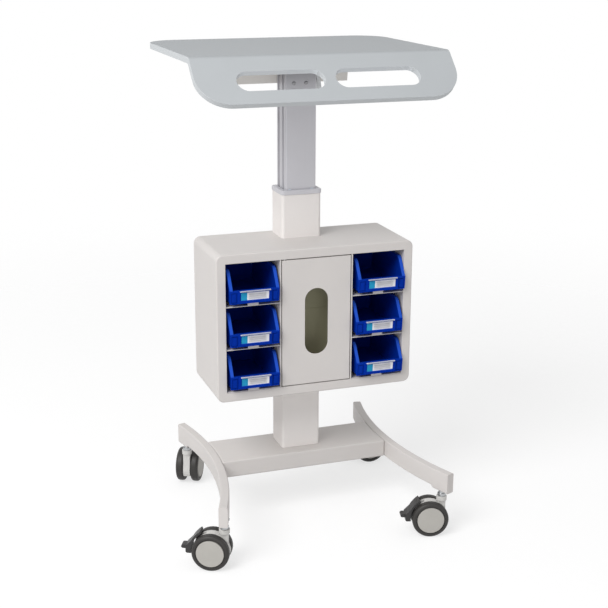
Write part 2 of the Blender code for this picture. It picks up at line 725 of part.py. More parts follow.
def shell_mesh():
    """Double-walled sleeve: outer skin, front frame and lining, folded from one sheet."""
    front, back, sheet = CABINET_FRONT, SHELL_BACK, CABINET_SHEET
    lining_corner = 2 * TOUCH
    fillet = [(CABINET_FILLET * (1 - math.cos(a)), CABINET_FILLET * (1 - math.sin(a)))
              for a in (0, math.pi / 4, math.pi / 2)]
    lining = cabinet_outline(CABINET_FRAME, lining_corner)
    lining_out = cabinet_outline(CABINET_FRAME - sheet, lining_corner + sheet)
    skin_in = cabinet_outline(sheet, CABINET_CORNER - sheet)
    levels = [(cabinet_outline(0, CABINET_CORNER), back)]
    levels += [(cabinet_outline(inset, CABINET_CORNER - inset), front + set_back)
               for inset, set_back in fillet]
    levels += [(lining, front), (lining, back), (lining_out, back), (lining_out, front + sheet)]
    levels += [(cabinet_outline(CABINET_FILLET, CABINET_CORNER - CABINET_FILLET), front + sheet)]
    levels += [(skin_in, front + CABINET_FILLET), (skin_in, back)]
    return loft("cabinet_shell", [[(x, y, z) for x, z in loop] for loop, y in levels], ring=True)


def hinge_place():
    return (DOOR_PIN_INSET - DOOR_WIDTH / 2, CABINET_FRONT + DOOR_PIN_SET)


def shelf_mesh():
    """Sheet with an upturned back edge and one upturned tab in the middle of its front."""
    half = BAY_WIDTH / 2 - TOUCH
    front, back = CABINET_FRONT, SHELL_BACK - TOUCH
    high = SHELF_SHEET + SHELF_TAB_HEIGHT
    profile = [(front, 0), (back, 0), (back, high), (back - SHELF_SHEET, high)]
    profile += [(back - SHELF_SHEET, SHELF_SHEET), (front, SHELF_SHEET)]
    shelf = put("shelf_form", prism("shelf_form", profile, -half, half, "x"), None, None)
    tab = box("shelf_tab", (-SHELF_TAB_WIDTH / 2, front, SHELF_SHEET / 2),
              (SHELF_TAB_WIDTH / 2, front + SHELF_SHEET, high))
    combine(shelf, tab, "UNION")
    return settled(shelf, "shelf")


def build_cabinet(root, paint, zinc, magnet):
    """Shell, back, partitions, shelves and the liner that screws to the column."""
    shell = put("cabinet_shell", smooth(shell_mesh()), paint, root)
    through = rounded_rect(COLUMN_WIDTH + 2 * TOUCH, COLUMN_DEPTH + 2 * TOUCH, COLUMN_CORNER + TOUCH, 4)
    combine(shell, prism("column_passage", through, CABINET_Z - TOUCH, CABINET_TOP + TOUCH))
    x, y = hinge_place()
    hole = rod("pin_hole", DOOR_PIN_DIAMETER / 2 + TOUCH,
               FLOOR_Z - 2 * CABINET_SHEET, CEILING_Z + 2 * CABINET_SHEET)
    combine(shell, group("hinge_holes", hole, [(x, y, 0)]))
    panel = cabinet_outline(0, CABINET_CORNER)
    rear = SHELL_BACK + TOUCH
    put("cabinet_back", prism("cabinet_back", panel, rear, rear + CABINET_SHEET, "y"), paint, root)

    side = DOOR_OPENING / 2
    low, high = FLOOR_Z + TOUCH, CEILING_Z - TOUCH
    for name, sign in (("left", -1), ("right", 1)):
        near, far = sorted((sign * side, sign * (side + PARTITION_SHEET)))
        wall = box(name + "_partition", (near, CABINET_FRONT, low), (far, SHELL_BACK - TOUCH, high))
        put(name + "_partition", wall, paint, root)
    shelf = shelf_mesh()
    middle = side + PARTITION_SHEET + BAY_WIDTH / 2
    for name, sign in (("left", -1), ("right", 1)):
        for row, level in enumerate(("bottom", "middle", "top")):
            z = FLOOR_Z + TOUCH + row * ROW_HEIGHT
            put(name + "_shelf_" + level, shelf, paint, root, (sign * middle, 0, z))

    liner = put("compartment_liner", box(
        "compartment_liner", (TOUCH - side, LINER_Y, low), (side - TOUCH, LINER_Y + CABINET_SHEET, high),
    ), paint, root)
    radius, head = CABINET_SCREW_DIAMETER / 2, CABINET_SCREW_HEAD / 2
    tip = COLUMN_WALL - COLUMN_DEPTH / 2
    seat = LINER_Y - TOUCH
    screw = headed_rod("screw", radius, head, tip, seat, seat - CABINET_SCREW_HEAD_HEIGHT, 8, "y")
    spots = [(0, 0, FLOOR_Z + CABINET_SCREW_INSET), (0, 0, CEILING_Z - CABINET_SCREW_INSET)]
    for level, spot in zip(("lower", "upper"), spots):
        put("cabinet_screw_" + level, screw, zinc, root, spot)
    drill = rod("screw_drill", radius + TOUCH, seat - TOUCH, tip + TOUCH, 8, "y")
    combine(liner, group("liner_holes", drill, spots))
    combine(bpy.data.objects["outer_column"], group("column_screw_holes", drill, spots))

    pin = DOOR_PIN_DIAMETER / 2
    hinge = rod("door_hinge_rod", pin, FLOOR_Z - DOOR_PIN_TAIL, CEILING_Z + DOOR_PIN_TAIL)
    put("door_hinge_rod", smooth(hinge), zinc, root, (x, y, 0))
    catch_y = CABINET_FRONT + DOOR_THICKNESS + TOUCH
    right = DOOR_WIDTH / 2 - DOOR_STILE
    catch = box("door_catch", (right - CATCH_WIDTH, catch_y, high - CATCH_HEIGHT),
                (right, catch_y + CATCH_DEPTH, high))
    put("door_catch", catch, magnet, root)
    return middle


def build_door(root, paint):
    """Pan-shaped door with an oval opening; its hinge stile is solid round the pins."""
    x, y = hinge_place()
    pivot = hub("door_hinge", root, (x, y, FLOOR_Z + DOOR_GAP))
    left, right = -DOOR_PIN_INSET, DOOR_WIDTH - DOOR_PIN_INSET
    front, back = -DOOR_PIN_SET, DOOR_THICKNESS - DOOR_PIN_SET
    height = OPENING_HEIGHT - 2 * DOOR_GAP
    heel = arc((left + DOOR_HEEL, back - DOOR_HEEL), DOOR_HEEL, 90, 180, 4)
    plan = [(left, front), (right, front), (right, back)] + heel
    door = put("door", prism("door", plan, 0, height), paint, pivot)
    sheet = CABINET_SHEET
    combine(door, box("door_pan", (left + DOOR_STILE, front + sheet, sheet),
                      (right - sheet, back + sheet, height - sheet)))
    middle = (left + right) / 2
    oval = [(middle + b, height / 2 + a) for a, b in stadium(OVAL_HEIGHT, OVAL_WIDTH)]
    combine(door, prism("door_oval", oval, front - sheet, back, "y"))
    combine(door, rod("door_bore", DOOR_PIN_DIAMETER / 2 + TOUCH, -TOUCH, height + TOUCH))


def bin_front(z):
    """How far the bin's front wall has leaned out at a height."""
    return -BIN_LEAN * z / BIN_FRONT_HEIGHT


def bin_mesh():
    """Open-fronted stacking bin: drafted walls, flanged edges and a raised label holder."""
    rim, wall, tall, low_front = BIN_RIM, BIN_WALL, BIN_HEIGHT, BIN_FRONT_HEIGHT
    side = BIN_WIDTH / 2
    foot_half = side - BIN_FLANGE + 2 * wall
    back = BIN_FLOOR_LENGTH

    def block(name, inset, low, high):
        loops = []
        for z in (low, high):
            half = foot_half + BIN_DRAFT * z / tall - inset
            front, rear = bin_front(z) + inset, back - inset
            outline = rounded_rect(2 * half, rear - front, BIN_CORNER - inset, 3)
            loops.append([(a, b + (front + rear) / 2, z) for a, b in outline])
        return loft(name, loops)

    def slope(set_in):
        """Edge of the side wall from the front lip, round the shoulder, to the top."""
        rise = tall - low_front
        angle = math.atan2(rise, BIN_SLOPE_RUN)
        away = (math.sin(angle), -math.cos(angle))
        start = (bin_front(low_front), low_front)
        tangent = BIN_SHOULDER * math.tan(angle / 2)
        length = math.hypot(rise, BIN_SLOPE_RUN) - tangent
        centre = (start[0] + math.cos(angle) * length + away[0] * BIN_SHOULDER,
                  start[1] + math.sin(angle) * length + away[1] * BIN_SHOULDER)
        turn = arc(centre, BIN_SHOULDER - set_in, math.degrees(angle) + 90, 90, 3)
        return [(start[0] + away[0] * set_in, start[1] + away[1] * set_in)] + turn

    def face_strip(low, high, deep, proud):
        """Section of a strip on the leaning front wall."""
        return [(bin_front(low) + deep, low), (bin_front(low) - proud, low),
                (bin_front(high) - proud, high), (bin_front(high) + deep, high)]

    body = put("bin_form", block("bin_form", 0, 0, tall), None, None)
    panel = face_strip(wall / 4, low_front + rim, wall / 2, rim)
    combine(body, prism("front_panel", panel, TOUCH - side, side - TOUCH, "x"), "UNION")
    combine(body, block("bin_inside", wall, wall, tall + wall))
    far = 2 * tall
    edge = slope(0)
    cut = [(-far, low_front)] + edge + [(edge[-1][0], far), (-far, far)]
    combine(body, prism("hopper_cut", cut, -BIN_WIDTH, BIN_WIDTH, "x"))
    depth = BIN_FLANGE_DEPTH
    under = slope(depth)
    strip = [(edge[0][0], low_front - depth)] + edge + [(back, tall), (back, tall - depth)]
    strip += under[::-1] + [(under[0][0], low_front - depth)]
    hold = side - BIN_FLANGE
    combine(body, prism("right_flange", strip, hold, side, "x"), "UNION")
    combine(body, prism("left_flange", strip, -side, -hold, "x"), "UNION")
    back_strip = [(back - wall / 2, tall - depth), (back + rim, tall - depth)]
    back_strip += [(back + rim, tall), (back - wall / 2, tall)]
    combine(body, prism("back_flange", back_strip, -side, side, "x"), "UNION")
    border = BIN_LABEL_BORDER
    half = BIN_LABEL_WIDTH / 2
    proud = rim + BIN_LABEL_RISE
    holder = face_strip(border / 4, low_front - border / 4, wall / 2, proud)
    combine(body, prism("label_holder", holder, -half, half, "x"), "UNION")
    pocket = face_strip(BIN_LABEL_SILL, low_front - border / 2, BIN_LABEL_POCKET - proud, 2 * proud)
    combine(body, prism("label_pocket", pocket, border - half, half - border, "x"))
    return settled(body, "bin")


def build_bins(root, blue, middle):
    mesh = bin_mesh()
    for name, sign in (("left", -1), ("right", 1)):
        for row, level in enumerate(("bottom", "middle", "top")):
            z = FLOOR_Z + row * ROW_HEIGHT + SHELF_SHEET + SHELF_TAB_HEIGHT + 2 * TOUCH
            bin_name = name + "_bin_" + level
            x = sign * middle + BIN_SIDE_SET.get(bin_name, 0) * BIN_SIDE_ROOM
            put(bin_name, mesh, blue, root, (x, BIN_Y, z))


def wheel_mesh(tyre, cap):
    """Wheel turned about Y with its inner face at zero; the cap's faces take a second finish."""
    radius, width, round_off = WHEEL_RADIUS, WHEEL_WIDTH, TYRE_SHOULDER
    bore = AXLE_DIAMETER / 2 + TOUCH
    cap_radius = CAP_DIAMETER / 2
    seam = width - CAP_RISE
    profile = [(0, AXLE_SEAT + TOUCH), (bore, AXLE_SEAT + TOUCH), (bore, 0)]
    profile += [(a, b + round_off) for a, b in arc((radius - round_off, 0), round_off, -90, 0, 2)]
    profile += [(a, b + width - round_off) for a, b in arc((radius - round_off, 0), round_off, 0, 90, 2)]
    profile += [(cap_radius, seam), (cap_radius - CAP_RISE, width), (0, width + CAP_RISE)]
    mesh = lathe("wheel", profile, 24, "y")
    mesh.materials.append(tyre)
    mesh.materials.append(cap)
    for face in mesh.polygons:
        across = math.hypot(face.center.x, face.center.z)
        if face.center.y > seam and across < cap_radius:
            face.material_index = 1
    return smooth(mesh)


def mirrored(mesh, name):
    """The same body on the other side of the fork."""
    copy = mesh.copy()
    copy.name = name
    copy.transform(Matrix.Rotation(math.pi, 4, "Z"))
    return copy


def fork_form(name, finish_of, parent):
    """Fork that runs between the wheels: round fender, front leg and swivel boss."""
    axle = (-CASTER_TRAIL, AXLE_Z)
    fender = WHEEL_RADIUS - FENDER_SET
    boss = SWIVEL_BOSS_DIAMETER / 2
    clear = WHEEL_RADIUS + 3 * TOUCH
    boss_low = AXLE_Z + math.sqrt(max(clear ** 2 - max(CASTER_TRAIL - boss, 0) ** 2, 0))
    neck = FORK_WIDTH / 2
    start = math.degrees(math.acos(min((CASTER_TRAIL - neck) / fender, 1)))
    web = arc(axle, fender, start, FENDER_END, 8) + arc(axle, HUB_RADIUS, *FORK_HOLLOW, 4)
    web += arc(axle, fender, FORK_LEG_START, 0, 3)
    web += [(neck, AXLE_Z + HUB_RADIUS), (neck, boss_low + neck / 2), (-neck, boss_low + neck / 2)]
    fork = put(name, prism(name, web, -FORK_WIDTH / 2, FORK_WIDTH / 2, "y"), finish_of, parent)
    combine(fork, rod(name + "_boss", boss, boss_low, FORK_TOP, 20), "UNION")
    bore = STEM_DIAMETER / 2 + TOUCH
    combine(fork, rod(name + "_stem_bore", bore, FORK_TOP - SWIVEL_DEPTH - TOUCH, FORK_TOP + TOUCH, 16))
    hole = rod("axle_hole", AXLE_DIAMETER / 2 + TOUCH, -FORK_WIDTH, FORK_WIDTH, 12, "y")
    combine(fork, group(name + "_axle_hole", hole, [(axle[0], 0, axle[1])]))
    return fork


def pedal_pivot():
    return polar((-CASTER_TRAIL, AXLE_Z), WHEEL_RADIUS - PEDAL_PIVOT_SET, PEDAL_PIVOT_ANGLE)


def cut_brake_slot(fork, name):
    """Slot in the fender for the pedal's tongue, with a cross hole for its pin."""
    axle = (-CASTER_TRAIL, AXLE_Z)
    far = 2 * WHEEL_RADIUS
    first, last = BRAKE_SLOT
    sector = arc(axle, WHEEL_RADIUS / 2, first, last, 2) + arc(axle, far, last, first, 2)
    half = PEDAL_TONGUE / 2 + TOUCH
    combine(fork, prism(name + "_slot", sector, -half, half, "y"))
    x, z = pedal_pivot()
    hole = rod("cross_hole", PEDAL_PIN_DIAMETER / 2 + TOUCH, -FORK_WIDTH, FORK_WIDTH, 10, "y")
    combine(fork, group(name + "_cross_hole", hole, [(x, 0, z)]))


def build_pedal(name, material, swivel):
    """Curved foot pedal over the back of the wheels, with a toe plate and a tongue on a pin."""
    pivot = pedal_pivot()
    axle = (-CASTER_TRAIL - pivot[0], AXLE_Z - pivot[1])
    near = WHEEL_RADIUS + PEDAL_CLEARANCE
    swing = (WHEEL_RADIUS - PEDAL_PIVOT_SET) * math.radians(PEDAL_LIFT)
    first, last = PEDAL_SPAN
    steps = 8

    def inside(angle, grow=0.0):
        room = swing * max(0.0, math.sin(math.radians(PEDAL_PIVOT_ANGLE - angle)))
        return polar(axle, near + room + grow, angle)

    span = [first + (last - first) * i / steps for i in range(steps + 1)]
    under = [inside(angle) for angle in span]
    over = [inside(angle, PEDAL_SHEET) for angle in span if angle <= PEDAL_TOE_ANGLE]
    heel = axle[0] - WHEEL_RADIUS
    toe_z, half = axle[1] + PEDAL_TOE_RISE, PEDAL_TOE / 2
    tail_x, tail_z = heel - PEDAL_TAIL, inside(last)[1]
    tail = [(tail_x, toe_z + half), (tail_x, tail_z + PEDAL_TAIL_CORNER)]
    tail += [(tail_x + PEDAL_TAIL_CORNER, tail_z)]
    outline = under[::-1] + over + tail
    half_width = PEDAL_WIDTH / 2
    pedal = put(name, prism(name, outline, -half_width, half_width, "y"), material, swivel,
                (pivot[0], 0, pivot[1]))
    inner = tail_x + PEDAL_TAIL_CORNER
    toe = [(inner, toe_z + half)] + arc((heel - PEDAL_REACH + half, toe_z), half, 90, 270, 4)
    toe += [(inner, toe_z - half)]
    half_toe = PEDAL_TOE_WIDTH / 2
    combine(pedal, prism(name + "_toe", toe, -half_toe, half_toe, "y"), "UNION")
    eye = PEDAL_EYE * PEDAL_PIN_DIAMETER
    base = PEDAL_PIVOT_ANGLE
    tongue = [inside(base + side, PEDAL_SHEET / 2) for side in (-PEDAL_TONGUE_SPAN, PEDAL_TONGUE_SPAN)]
    tongue += arc((0, 0), eye, base + 90, base + 270, 6)
    half_tongue = PEDAL_TONGUE / 2
    combine(pedal, prism(name + "_tongue", tongue, -half_tongue, half_tongue, "y"), "UNION")
    end = FORK_WIDTH / 2 - TOUCH
    combine(pedal, rod(name + "_pin", PEDAL_PIN_DIAMETER / 2, -end, end, 10, "y"), "UNION")


def build_caster(base, corner, wheels, grey, zinc, dark):
    """Stem in the leg, swivelling fork, axle, two wheels and, in front, a brake pedal."""
    x, y = stem_place(corner)
    name = corner + "_"
    radius, flange = STEM_DIAMETER / 2, STEM_FLANGE_DIAMETER / 2
    neck = STEM_NECK_DIAMETER / 2
    seat, low = PAD_Z - TOUCH, FORK_TOP + TOUCH
    ledge = low + STEM_FLANGE_HEIGHT
    profile = [
        (0, low - SWIVEL_DEPTH), (radius, low - SWIVEL_DEPTH), (radius, low), (flange, low),
        (flange, ledge), (neck, ledge), (neck, seat), (radius, seat),
        (radius, seat + STEM_GRIP), (0, seat + STEM_GRIP),
    ]
    put(name + "stem", smooth(lathe(name + "stem", profile, 16)), zinc, base, (x, y, 0))
    swivel = hub(name + "swivel", base, (x, y, 0), CASTER_HEADINGS[corner])
    fork = fork_form(name + "fork", grey, swivel)
    if corner.startswith("front"):
        cut_brake_slot(fork, name + "fork")
        build_pedal(name + "pedal", dark, swivel)
    smooth(fork.data)
    inner_face = FORK_WIDTH / 2 + TOUCH
    end = inner_face + AXLE_SEAT - TOUCH
    place = (-CASTER_TRAIL, 0, AXLE_Z)
    axle = rod(name + "axle", AXLE_DIAMETER / 2, -end, end, 12, "y")
    put(name + "axle", smooth(axle), zinc, swivel, place)
    for side, mesh, sign in (("a", wheels[0], -1), ("b", wheels[1], 1)):
        put(name + "wheel_" + side, mesh, None, swivel, (place[0], sign * inner_face, place[2]))


def stand_on_origin(root):
    """Move the cart so that the bottom of its box is centred on the origin."""
    bpy.context.view_layer.update()
    graph = bpy.context.evaluated_depsgraph_get()
    low, high = Vector((1e9, 1e9, 1e9)), Vector((-1e9, -1e9, -1e9))
    for obj in bpy.data.objects:
        if obj.type != "MESH" or obj.hide_render:
            continue
        mesh = obj.evaluated_get(graph).to_mesh()
        for vertex in mesh.vertices:
            point = obj.matrix_world @ vertex.co
            low = Vector(map(min, low, point))
            high = Vector(map(max, high, point))
        obj.evaluated_get(graph).to_mesh_clear()
    root.location = (-(low.x + high.x) / 2, -(low.y + high.y) / 2, -low.z)
    bpy.context.view_layer.update()


def main():
    clear_scene()
    paint = finish("white_powder_coat", (0.70, 0.69, 0.66), 0.45)
    surface = finish("grey_moulding", (0.50, 0.53, 0.56), 0.5)
    aluminium = finish("satin_aluminium", (0.60, 0.60, 0.63), 0.35, 1.0)
    plastic = finish("grey_plastic", (0.55, 0.55, 0.58), 0.5)
    steel = finish("dark_steel", (0.35, 0.35, 0.36), 0.35, 1.0)
    zinc = finish("bright_zinc", (0.62, 0.63, 0.64), 0.3, 1.0)
    blue = finish("blue_polypropylene", (0.004, 0.030, 0.30), 0.35)
    tyre = finish("charcoal_tyre", (0.055, 0.052, 0.048), 0.6)
    cap = finish("light_grey_cap", (0.47, 0.46, 0.43), 0.5)
    grey = finish("silver_grey_fork", (0.55, 0.54, 0.52), 0.45)
    dark = finish("dark_grey_pedal", (0.075, 0.07, 0.065), 0.55)
    magnet = finish("black_magnet", (0.03, 0.03, 0.03), 0.5)

    root = hub("cart", None)
    head = hub("lift_head", root)
    base = hub("base_middle", root, (0, -BASE_SET_FORWARD, 0))
    drill = build_base(base, paint, zinc)
    build_column(root, head, paint, plastic, aluminium, steel, zinc, drill)
    build_head(head, paint, steel, zinc, surface)
    middle = build_cabinet(root, paint, zinc, magnet)
    build_door(root, paint)
    build_bins(root, blue, middle)
    outer_wheel = wheel_mesh(tyre, cap)
    wheels = (mirrored(outer_wheel, "wheel_mirrored"), outer_wheel)
    for corner in CASTER_HEADINGS:
        build_caster(base, corner, wheels, grey, zinc, dark)
    stand_on_origin(root)


main()
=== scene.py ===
"""Looks of the medical laptop cart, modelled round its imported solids. Metres, +Z up, front to -Y."""
import json
import math

import bmesh
import bpy
from mathutils import Matrix, Vector


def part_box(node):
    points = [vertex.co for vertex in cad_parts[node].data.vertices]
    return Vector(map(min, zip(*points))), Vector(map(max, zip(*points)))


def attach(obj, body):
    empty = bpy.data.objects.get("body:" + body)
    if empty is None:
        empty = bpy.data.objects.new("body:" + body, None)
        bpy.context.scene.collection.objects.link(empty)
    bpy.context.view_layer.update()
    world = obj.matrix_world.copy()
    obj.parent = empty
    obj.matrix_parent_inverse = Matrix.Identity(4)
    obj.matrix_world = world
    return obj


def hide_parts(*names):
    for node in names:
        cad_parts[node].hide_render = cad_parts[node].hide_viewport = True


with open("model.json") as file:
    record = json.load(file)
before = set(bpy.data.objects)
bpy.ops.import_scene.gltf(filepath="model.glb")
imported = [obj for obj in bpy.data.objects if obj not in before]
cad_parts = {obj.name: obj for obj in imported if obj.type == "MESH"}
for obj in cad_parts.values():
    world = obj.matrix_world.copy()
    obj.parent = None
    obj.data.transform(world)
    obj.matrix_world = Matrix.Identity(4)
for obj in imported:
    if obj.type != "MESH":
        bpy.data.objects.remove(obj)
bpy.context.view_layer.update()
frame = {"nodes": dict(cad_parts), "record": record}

NODES = frame["nodes"]
LEVELS = ("bottom", "middle", "top")
SIDES = ("left", "right")
CORNERS = ("front_left", "front_right", "back_left", "back_right")

# Finish of a screw, or of a solid that stays as it is, by its material slot
BY_SLOT = {"bright_zinc": "zinc", "satin_aluminium": "aluminium", "grey_plastic": "collar",
           "dark_steel": "steel", "magnet_black": "magnet"}

# Middle of the fixed column from above: the camera, the base and the small pieces are placed from it
COLUMN_LOW, COLUMN_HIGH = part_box("outer_column")
MIDDLE = Vector(((COLUMN_LOW.x + COLUMN_HIGH.x) / 2, (COLUMN_LOW.y + COLUMN_HIGH.y) / 2, 0))

# Modelling: gap at fitted faces, sheet metal, reach of the cutting tools and limits of the tests
FIT = 0.0003
SHEET = 0.0015
FAR = 1.0
TOOL_PAST = 0.1
TOOL_LIFT = 0.02
HOLE_SIDES = 48
MERGE = 0.00001
FLAT_ANGLE = 0.6
ALONG_SHARE = 0.999
FACING = 0.9
MANY_SIDES = 8
SHARP_TURN = 1.2
DRUM_TURN = {"x": (0, math.pi / 2, 0), "y": (math.pi / 2, 0, 0), "z": (0, 0, 0)}

# Least angle of an edge that stays sharp in the shading, in degrees: usual, round pieces, legs and beam
SHARP_ANGLE = 35
ROUND_SHARP_ANGLE = 40
BASE_SHARP_ANGLE = 50

# Rounding of the solids that keep their form: width, segments and the least angle in degrees
ROUNDING = {"panel": (0.0004, 2, 40), "shelf": (0.0003, 2, 60), "profile": (0.0004, 2, 50),
            "collar": (0.0005, 2, 50), "bracket": (0.0006, 2, 40), "lever": (0.0007, 2, 40),
            "fork": (0.0008, 3, 45), "stem": (0.0004, 2, 40), "pedal": (0.001, 3, 45)}

# Worktop
TOP_SHEET = 0.012
TOP_EDGE = 0.0045
TOP_BACK_CORNER = 0.067
TOP_BACK_STEPS = 14
TOP_BEND_START = 0.379
TOP_BEND_RADIUS = 0.020
TOP_BEND_ANGLE = math.radians(45)
TOP_BEND_STEPS = 10
TOP_FLAP = 0.112
TOP_FLAP_CORNER = 0.066
TOP_FLAP_STEPS = 18
# Painted shade: the flat top gets a darker grey than the bent front of the same moulding
TOP_FLAT_PAINTED_SHADE = (0.360, 0.378, 0.392)
TOP_FLAP_GREY = (0.450, 0.472, 0.488)
# Painted light: paler greys on the rounded edges and on the upper walls of the slots
TOP_EDGE_TURN = 0.86
TOP_EDGE_PAINTED_LIGHT = (0.595, 0.618, 0.635)
TOP_SLOT_TURN = 0.8
TOP_SLOT_PAINTED_LIGHT = (0.730, 0.760, 0.790)
TOP_ROUGHNESS = (0.48, 0.62)
TOP_SHINE = 0.15
TOP_PATCH = 8
TOP_SPREAD = 0.015
TOP_GRAIN = 900
TOP_GRAIN_HEIGHT = 0.0001
SLOT_LENGTH = 0.173
SLOT_HEIGHT = 0.045
SLOT_SPACING = 0.0215
SLOT_DROP = 0.0375
SLOT_TOOL_DEPTH = 0.06

# Cabinet, column and door
CABINET_CORNER = 0.014
CABINET_FRAME = 0.0193
CABINET_FRONT_EDGE = 0.003
CABINET_INNER_EDGE = 0.0008
COLUMN_CORNER = 0.006
PROFILE_GREY = (0.555, 0.548, 0.578)
PROFILE_SHADED = (0.285, 0.281, 0.297)
PROFILE_SHADE_TOP = 0.004
PROFILE_SHADE_DROP = 0.070
PROFILE_STRETCH = (1, 1, 0.02)
DOOR_STILE = 0.014
DOOR_EDGE = 0.0007
OVAL_WIDTH = 0.0495
OVAL_HEIGHT = 0.1396
OVAL_TOOL_DEPTH = 0.05
HINGE_INSET = 0.0065
HINGE_SET = 0.005
HINGE_BORE = 0.0028
LINER_SEAM = 0.0015
LINER_SEAM_X = 0.0125

# Bins
BIN_WALL = 0.002
BIN_HALF_FOOT = 0.04875
BIN_HALF_WIDTH = 0.05125
BIN_HALF_MOUTH = 0.04475
BIN_LENGTH = 0.1685
BIN_HEIGHT = 0.066
BIN_LIP = 0.0282
BIN_LEAN = 0.003
BIN_SLOPE_RUN = 0.024
BIN_SHOULDER = 0.0077
BIN_CORNER = 0.006
BIN_DRAFT = 0.001
BIN_PANEL = 0.002
BIN_RIM_DROP = 0.004
BIN_RIM_BACK = 0.0022
BIN_RIM_EDGE = 0.0011
BIN_TUCK = 0.001
BIN_BLUE = (0.0007, 0.028, 0.335)
BIN_EDGE_TURN = 0.25
# Painted highlight colour for the rounded bin edges that face up and forward
BIN_HIGHLIGHT_BLUE = (0.020, 0.085, 0.52)
BIN_PAD_IN = 0.0365
BIN_PAD_OUT = 0.0490
BIN_PAD_LOW = 0.0030
BIN_PAD_HIGH = 0.0240
BIN_GROOVE = 0.0016
BIN_GROOVE_DEPTH = 0.0017
HOLDER_WIDTH = 0.070
HOLDER_RISE = 0.0025
HOLDER_BORDER = 0.0055
HOLDER_SILL = 0.0078
HOLDER_POCKET = 0.0012
HOLDER_EDGE = 0.0006
CARD_WIDTH = 0.0575
CARD_HEIGHT = 0.0155
CARD_STRIP = 0.0125
CARD_SHEET = 0.0004
CARD_PRINT = 0.0001
CARD_CORNER = 0.0006
CARD_MARGIN = 0.003
CARD_RULES = 3
CARD_RULE = 0.036
CARD_RULE_WIDTH = 0.0007
CARD_RULE_LOW = 0.0035
CARD_RULE_STEP = 0.0040
# Lip of the card sleeve: its pale colour is a painted highlight along the top of the label holder
SLEEVE_WIDTH = 0.063
SLEEVE_SHEET = 0.0015
SLEEVE_HEIGHT = 0.0019

# Casters: the steps are an inset and a push along the axle
WHEEL_RADIUS = 0.038
WHEEL_WIDTH = 0.0175
WHEEL_SIDES = 72
TYRE_SHOULDER = 0.0055
TYRE_RIM_NEAR = 0.001
TYRE_EDGE = 0.0003
TYRE_CAP_STEPS = ((0.0018, -0.0006), (0.0012, -0.0022))
TYRE_BACK_BORDER = 0.004
TYRE_BACK_DEPTH = 0.0012
HUB_RADIUS = 0.012
HUB_RISE = 0.0011
CAP_RADIUS = 0.028
CAP_SUNK = 0.0027
CAP_PROUD = 0.0006
CAP_EDGE = 0.0009
CAP_STEPS = ((0.010, 0.0002), (0.009, 0.0001))
FORK_WIDTH = 0.015
CASTER_TRAIL = 0.025
AXLE_BORE = 0.0043
AXLE_SEAT = 0.0143
CASTER_HEADINGS = {"front_left": -27, "front_right": -15, "back_left": -118, "back_right": 180}

# Base, screws and glide tips
LEG_GAP = 0.365
LEG_BOW = 0.740
LEG_THICKNESS = 0.018
WELD_REACH = 0.0006
SCREW_RADIUS = 0.004
SCREW_HEAD = 0.0022
SCREW_SUNK = 0.0003
SCREW_DOME = 0.0015
SCREW_SOCKET = 0.0022
SMALL_SCREW = 0.62
BRACKET_SCREW_SIZE = 0.95
BRACKET_SCREW_X = 0.0129
BRACKET_SCREW_SHIFT = -0.002
BRACKET_SCREW_Z = 0.9189
SET_SCREW_Z = 0.1015
BACK_SCREW_INSET = 0.016
GLIDE_TIP_X = 0.024
GLIDE_TIP_WIDTH = 0.006
GLIDE_TIP_DEPTH = 0.0022
GLIDE_TIP_HEIGHT = 0.0024

# Finishes: noise, what part of it sets colour and gloss, and the settings that card and ink share
NOISE_ROUGHNESS = 0.55
CLOUD_DETAIL = 3.0
GRAIN_DETAIL = 2.0
GRAIN_STRENGTH = 0.5
COLOUR_RANGE = (0.35, 0.65)
GLOSS_RANGE = (0.3, 0.7)
GLOSS_SPREAD = 0.06
PAPER = {"patch": 60, "shine": 0.2}

# Camera: place from the column's middle, directions, roll in degrees, and lens and photo width in pixels
CAMERA_PLACE = (-0.830, -2.4135, 1.2108)
CAMERA_RIGHT = (0.9435, -0.3315, 0)
CAMERA_FORWARD = (0.3177, 0.9042, -0.2855)
CAMERA_ROLL = 0.22
CAMERA_LENS = 1253.1
PHOTO_WIDTH = 608
CAMERA_SENSOR = 36
CAMERA_REACH = 50

# Floor, room and lamps: name, place, width and power
FLOOR_RADIUS = 3.0
FLOOR_SIDES = 96
FLOOR_FADE = 0.9
FLOOR_BOUNCE = 0.70
FLOOR_SHADE = 0.36
FLOOR_GLOW = 0.65
FLOOR_ROUGHNESS = 0.9
FLOOR_SHINE = 0.1
ROOM_LIGHT = 0.52
LAMP_TARGET = Vector((0, 0, 0.5))
LAMPS = (("key_left", (-3.65, -2.56, 4.51), 3.6, 275), ("low_fill", (-0.5, -2.5, 0.25), 1.2, 4))


def let_go():
    """Object mode with nothing selected."""
    if bpy.context.object is not None and bpy.context.object.mode != "OBJECT":
        bpy.ops.object.mode_set(mode="OBJECT")
    bpy.ops.object.select_all(action="DESELECT")


def take(piece):
    let_go()
    piece.select_set(True)
    bpy.context.view_layer.objects.active = piece


def settle(piece):
    """Move an object's place, turn and scale into its mesh."""
    take(piece)
    bpy.ops.object.transform_apply(location=True, rotation=True, scale=True)
    return piece


def discard(*pieces):
    for piece in pieces:
        bpy.data.objects.remove(piece, do_unlink=True)


def block(name, low, high):
    """Cube stretched between two corners, a start to work on."""
    let_go()
    low, high = Vector(low), Vector(high)
    bpy.ops.mesh.primitive_cube_add(size=1, location=(low + high) / 2)
    piece = bpy.context.object
    piece.name = name
    piece.scale = high - low
    return settle(piece)


def drum(name, centre, radius, length, axis, sides):
    """Cylinder along one axis, a start to work on."""
    let_go()
    bpy.ops.mesh.primitive_cylinder_add(
        vertices=sides, radius=radius, depth=length, location=centre, rotation=DRUM_TURN[axis])
    bpy.context.object.name = name
    return settle(bpy.context.object)


def every(part):
    return True


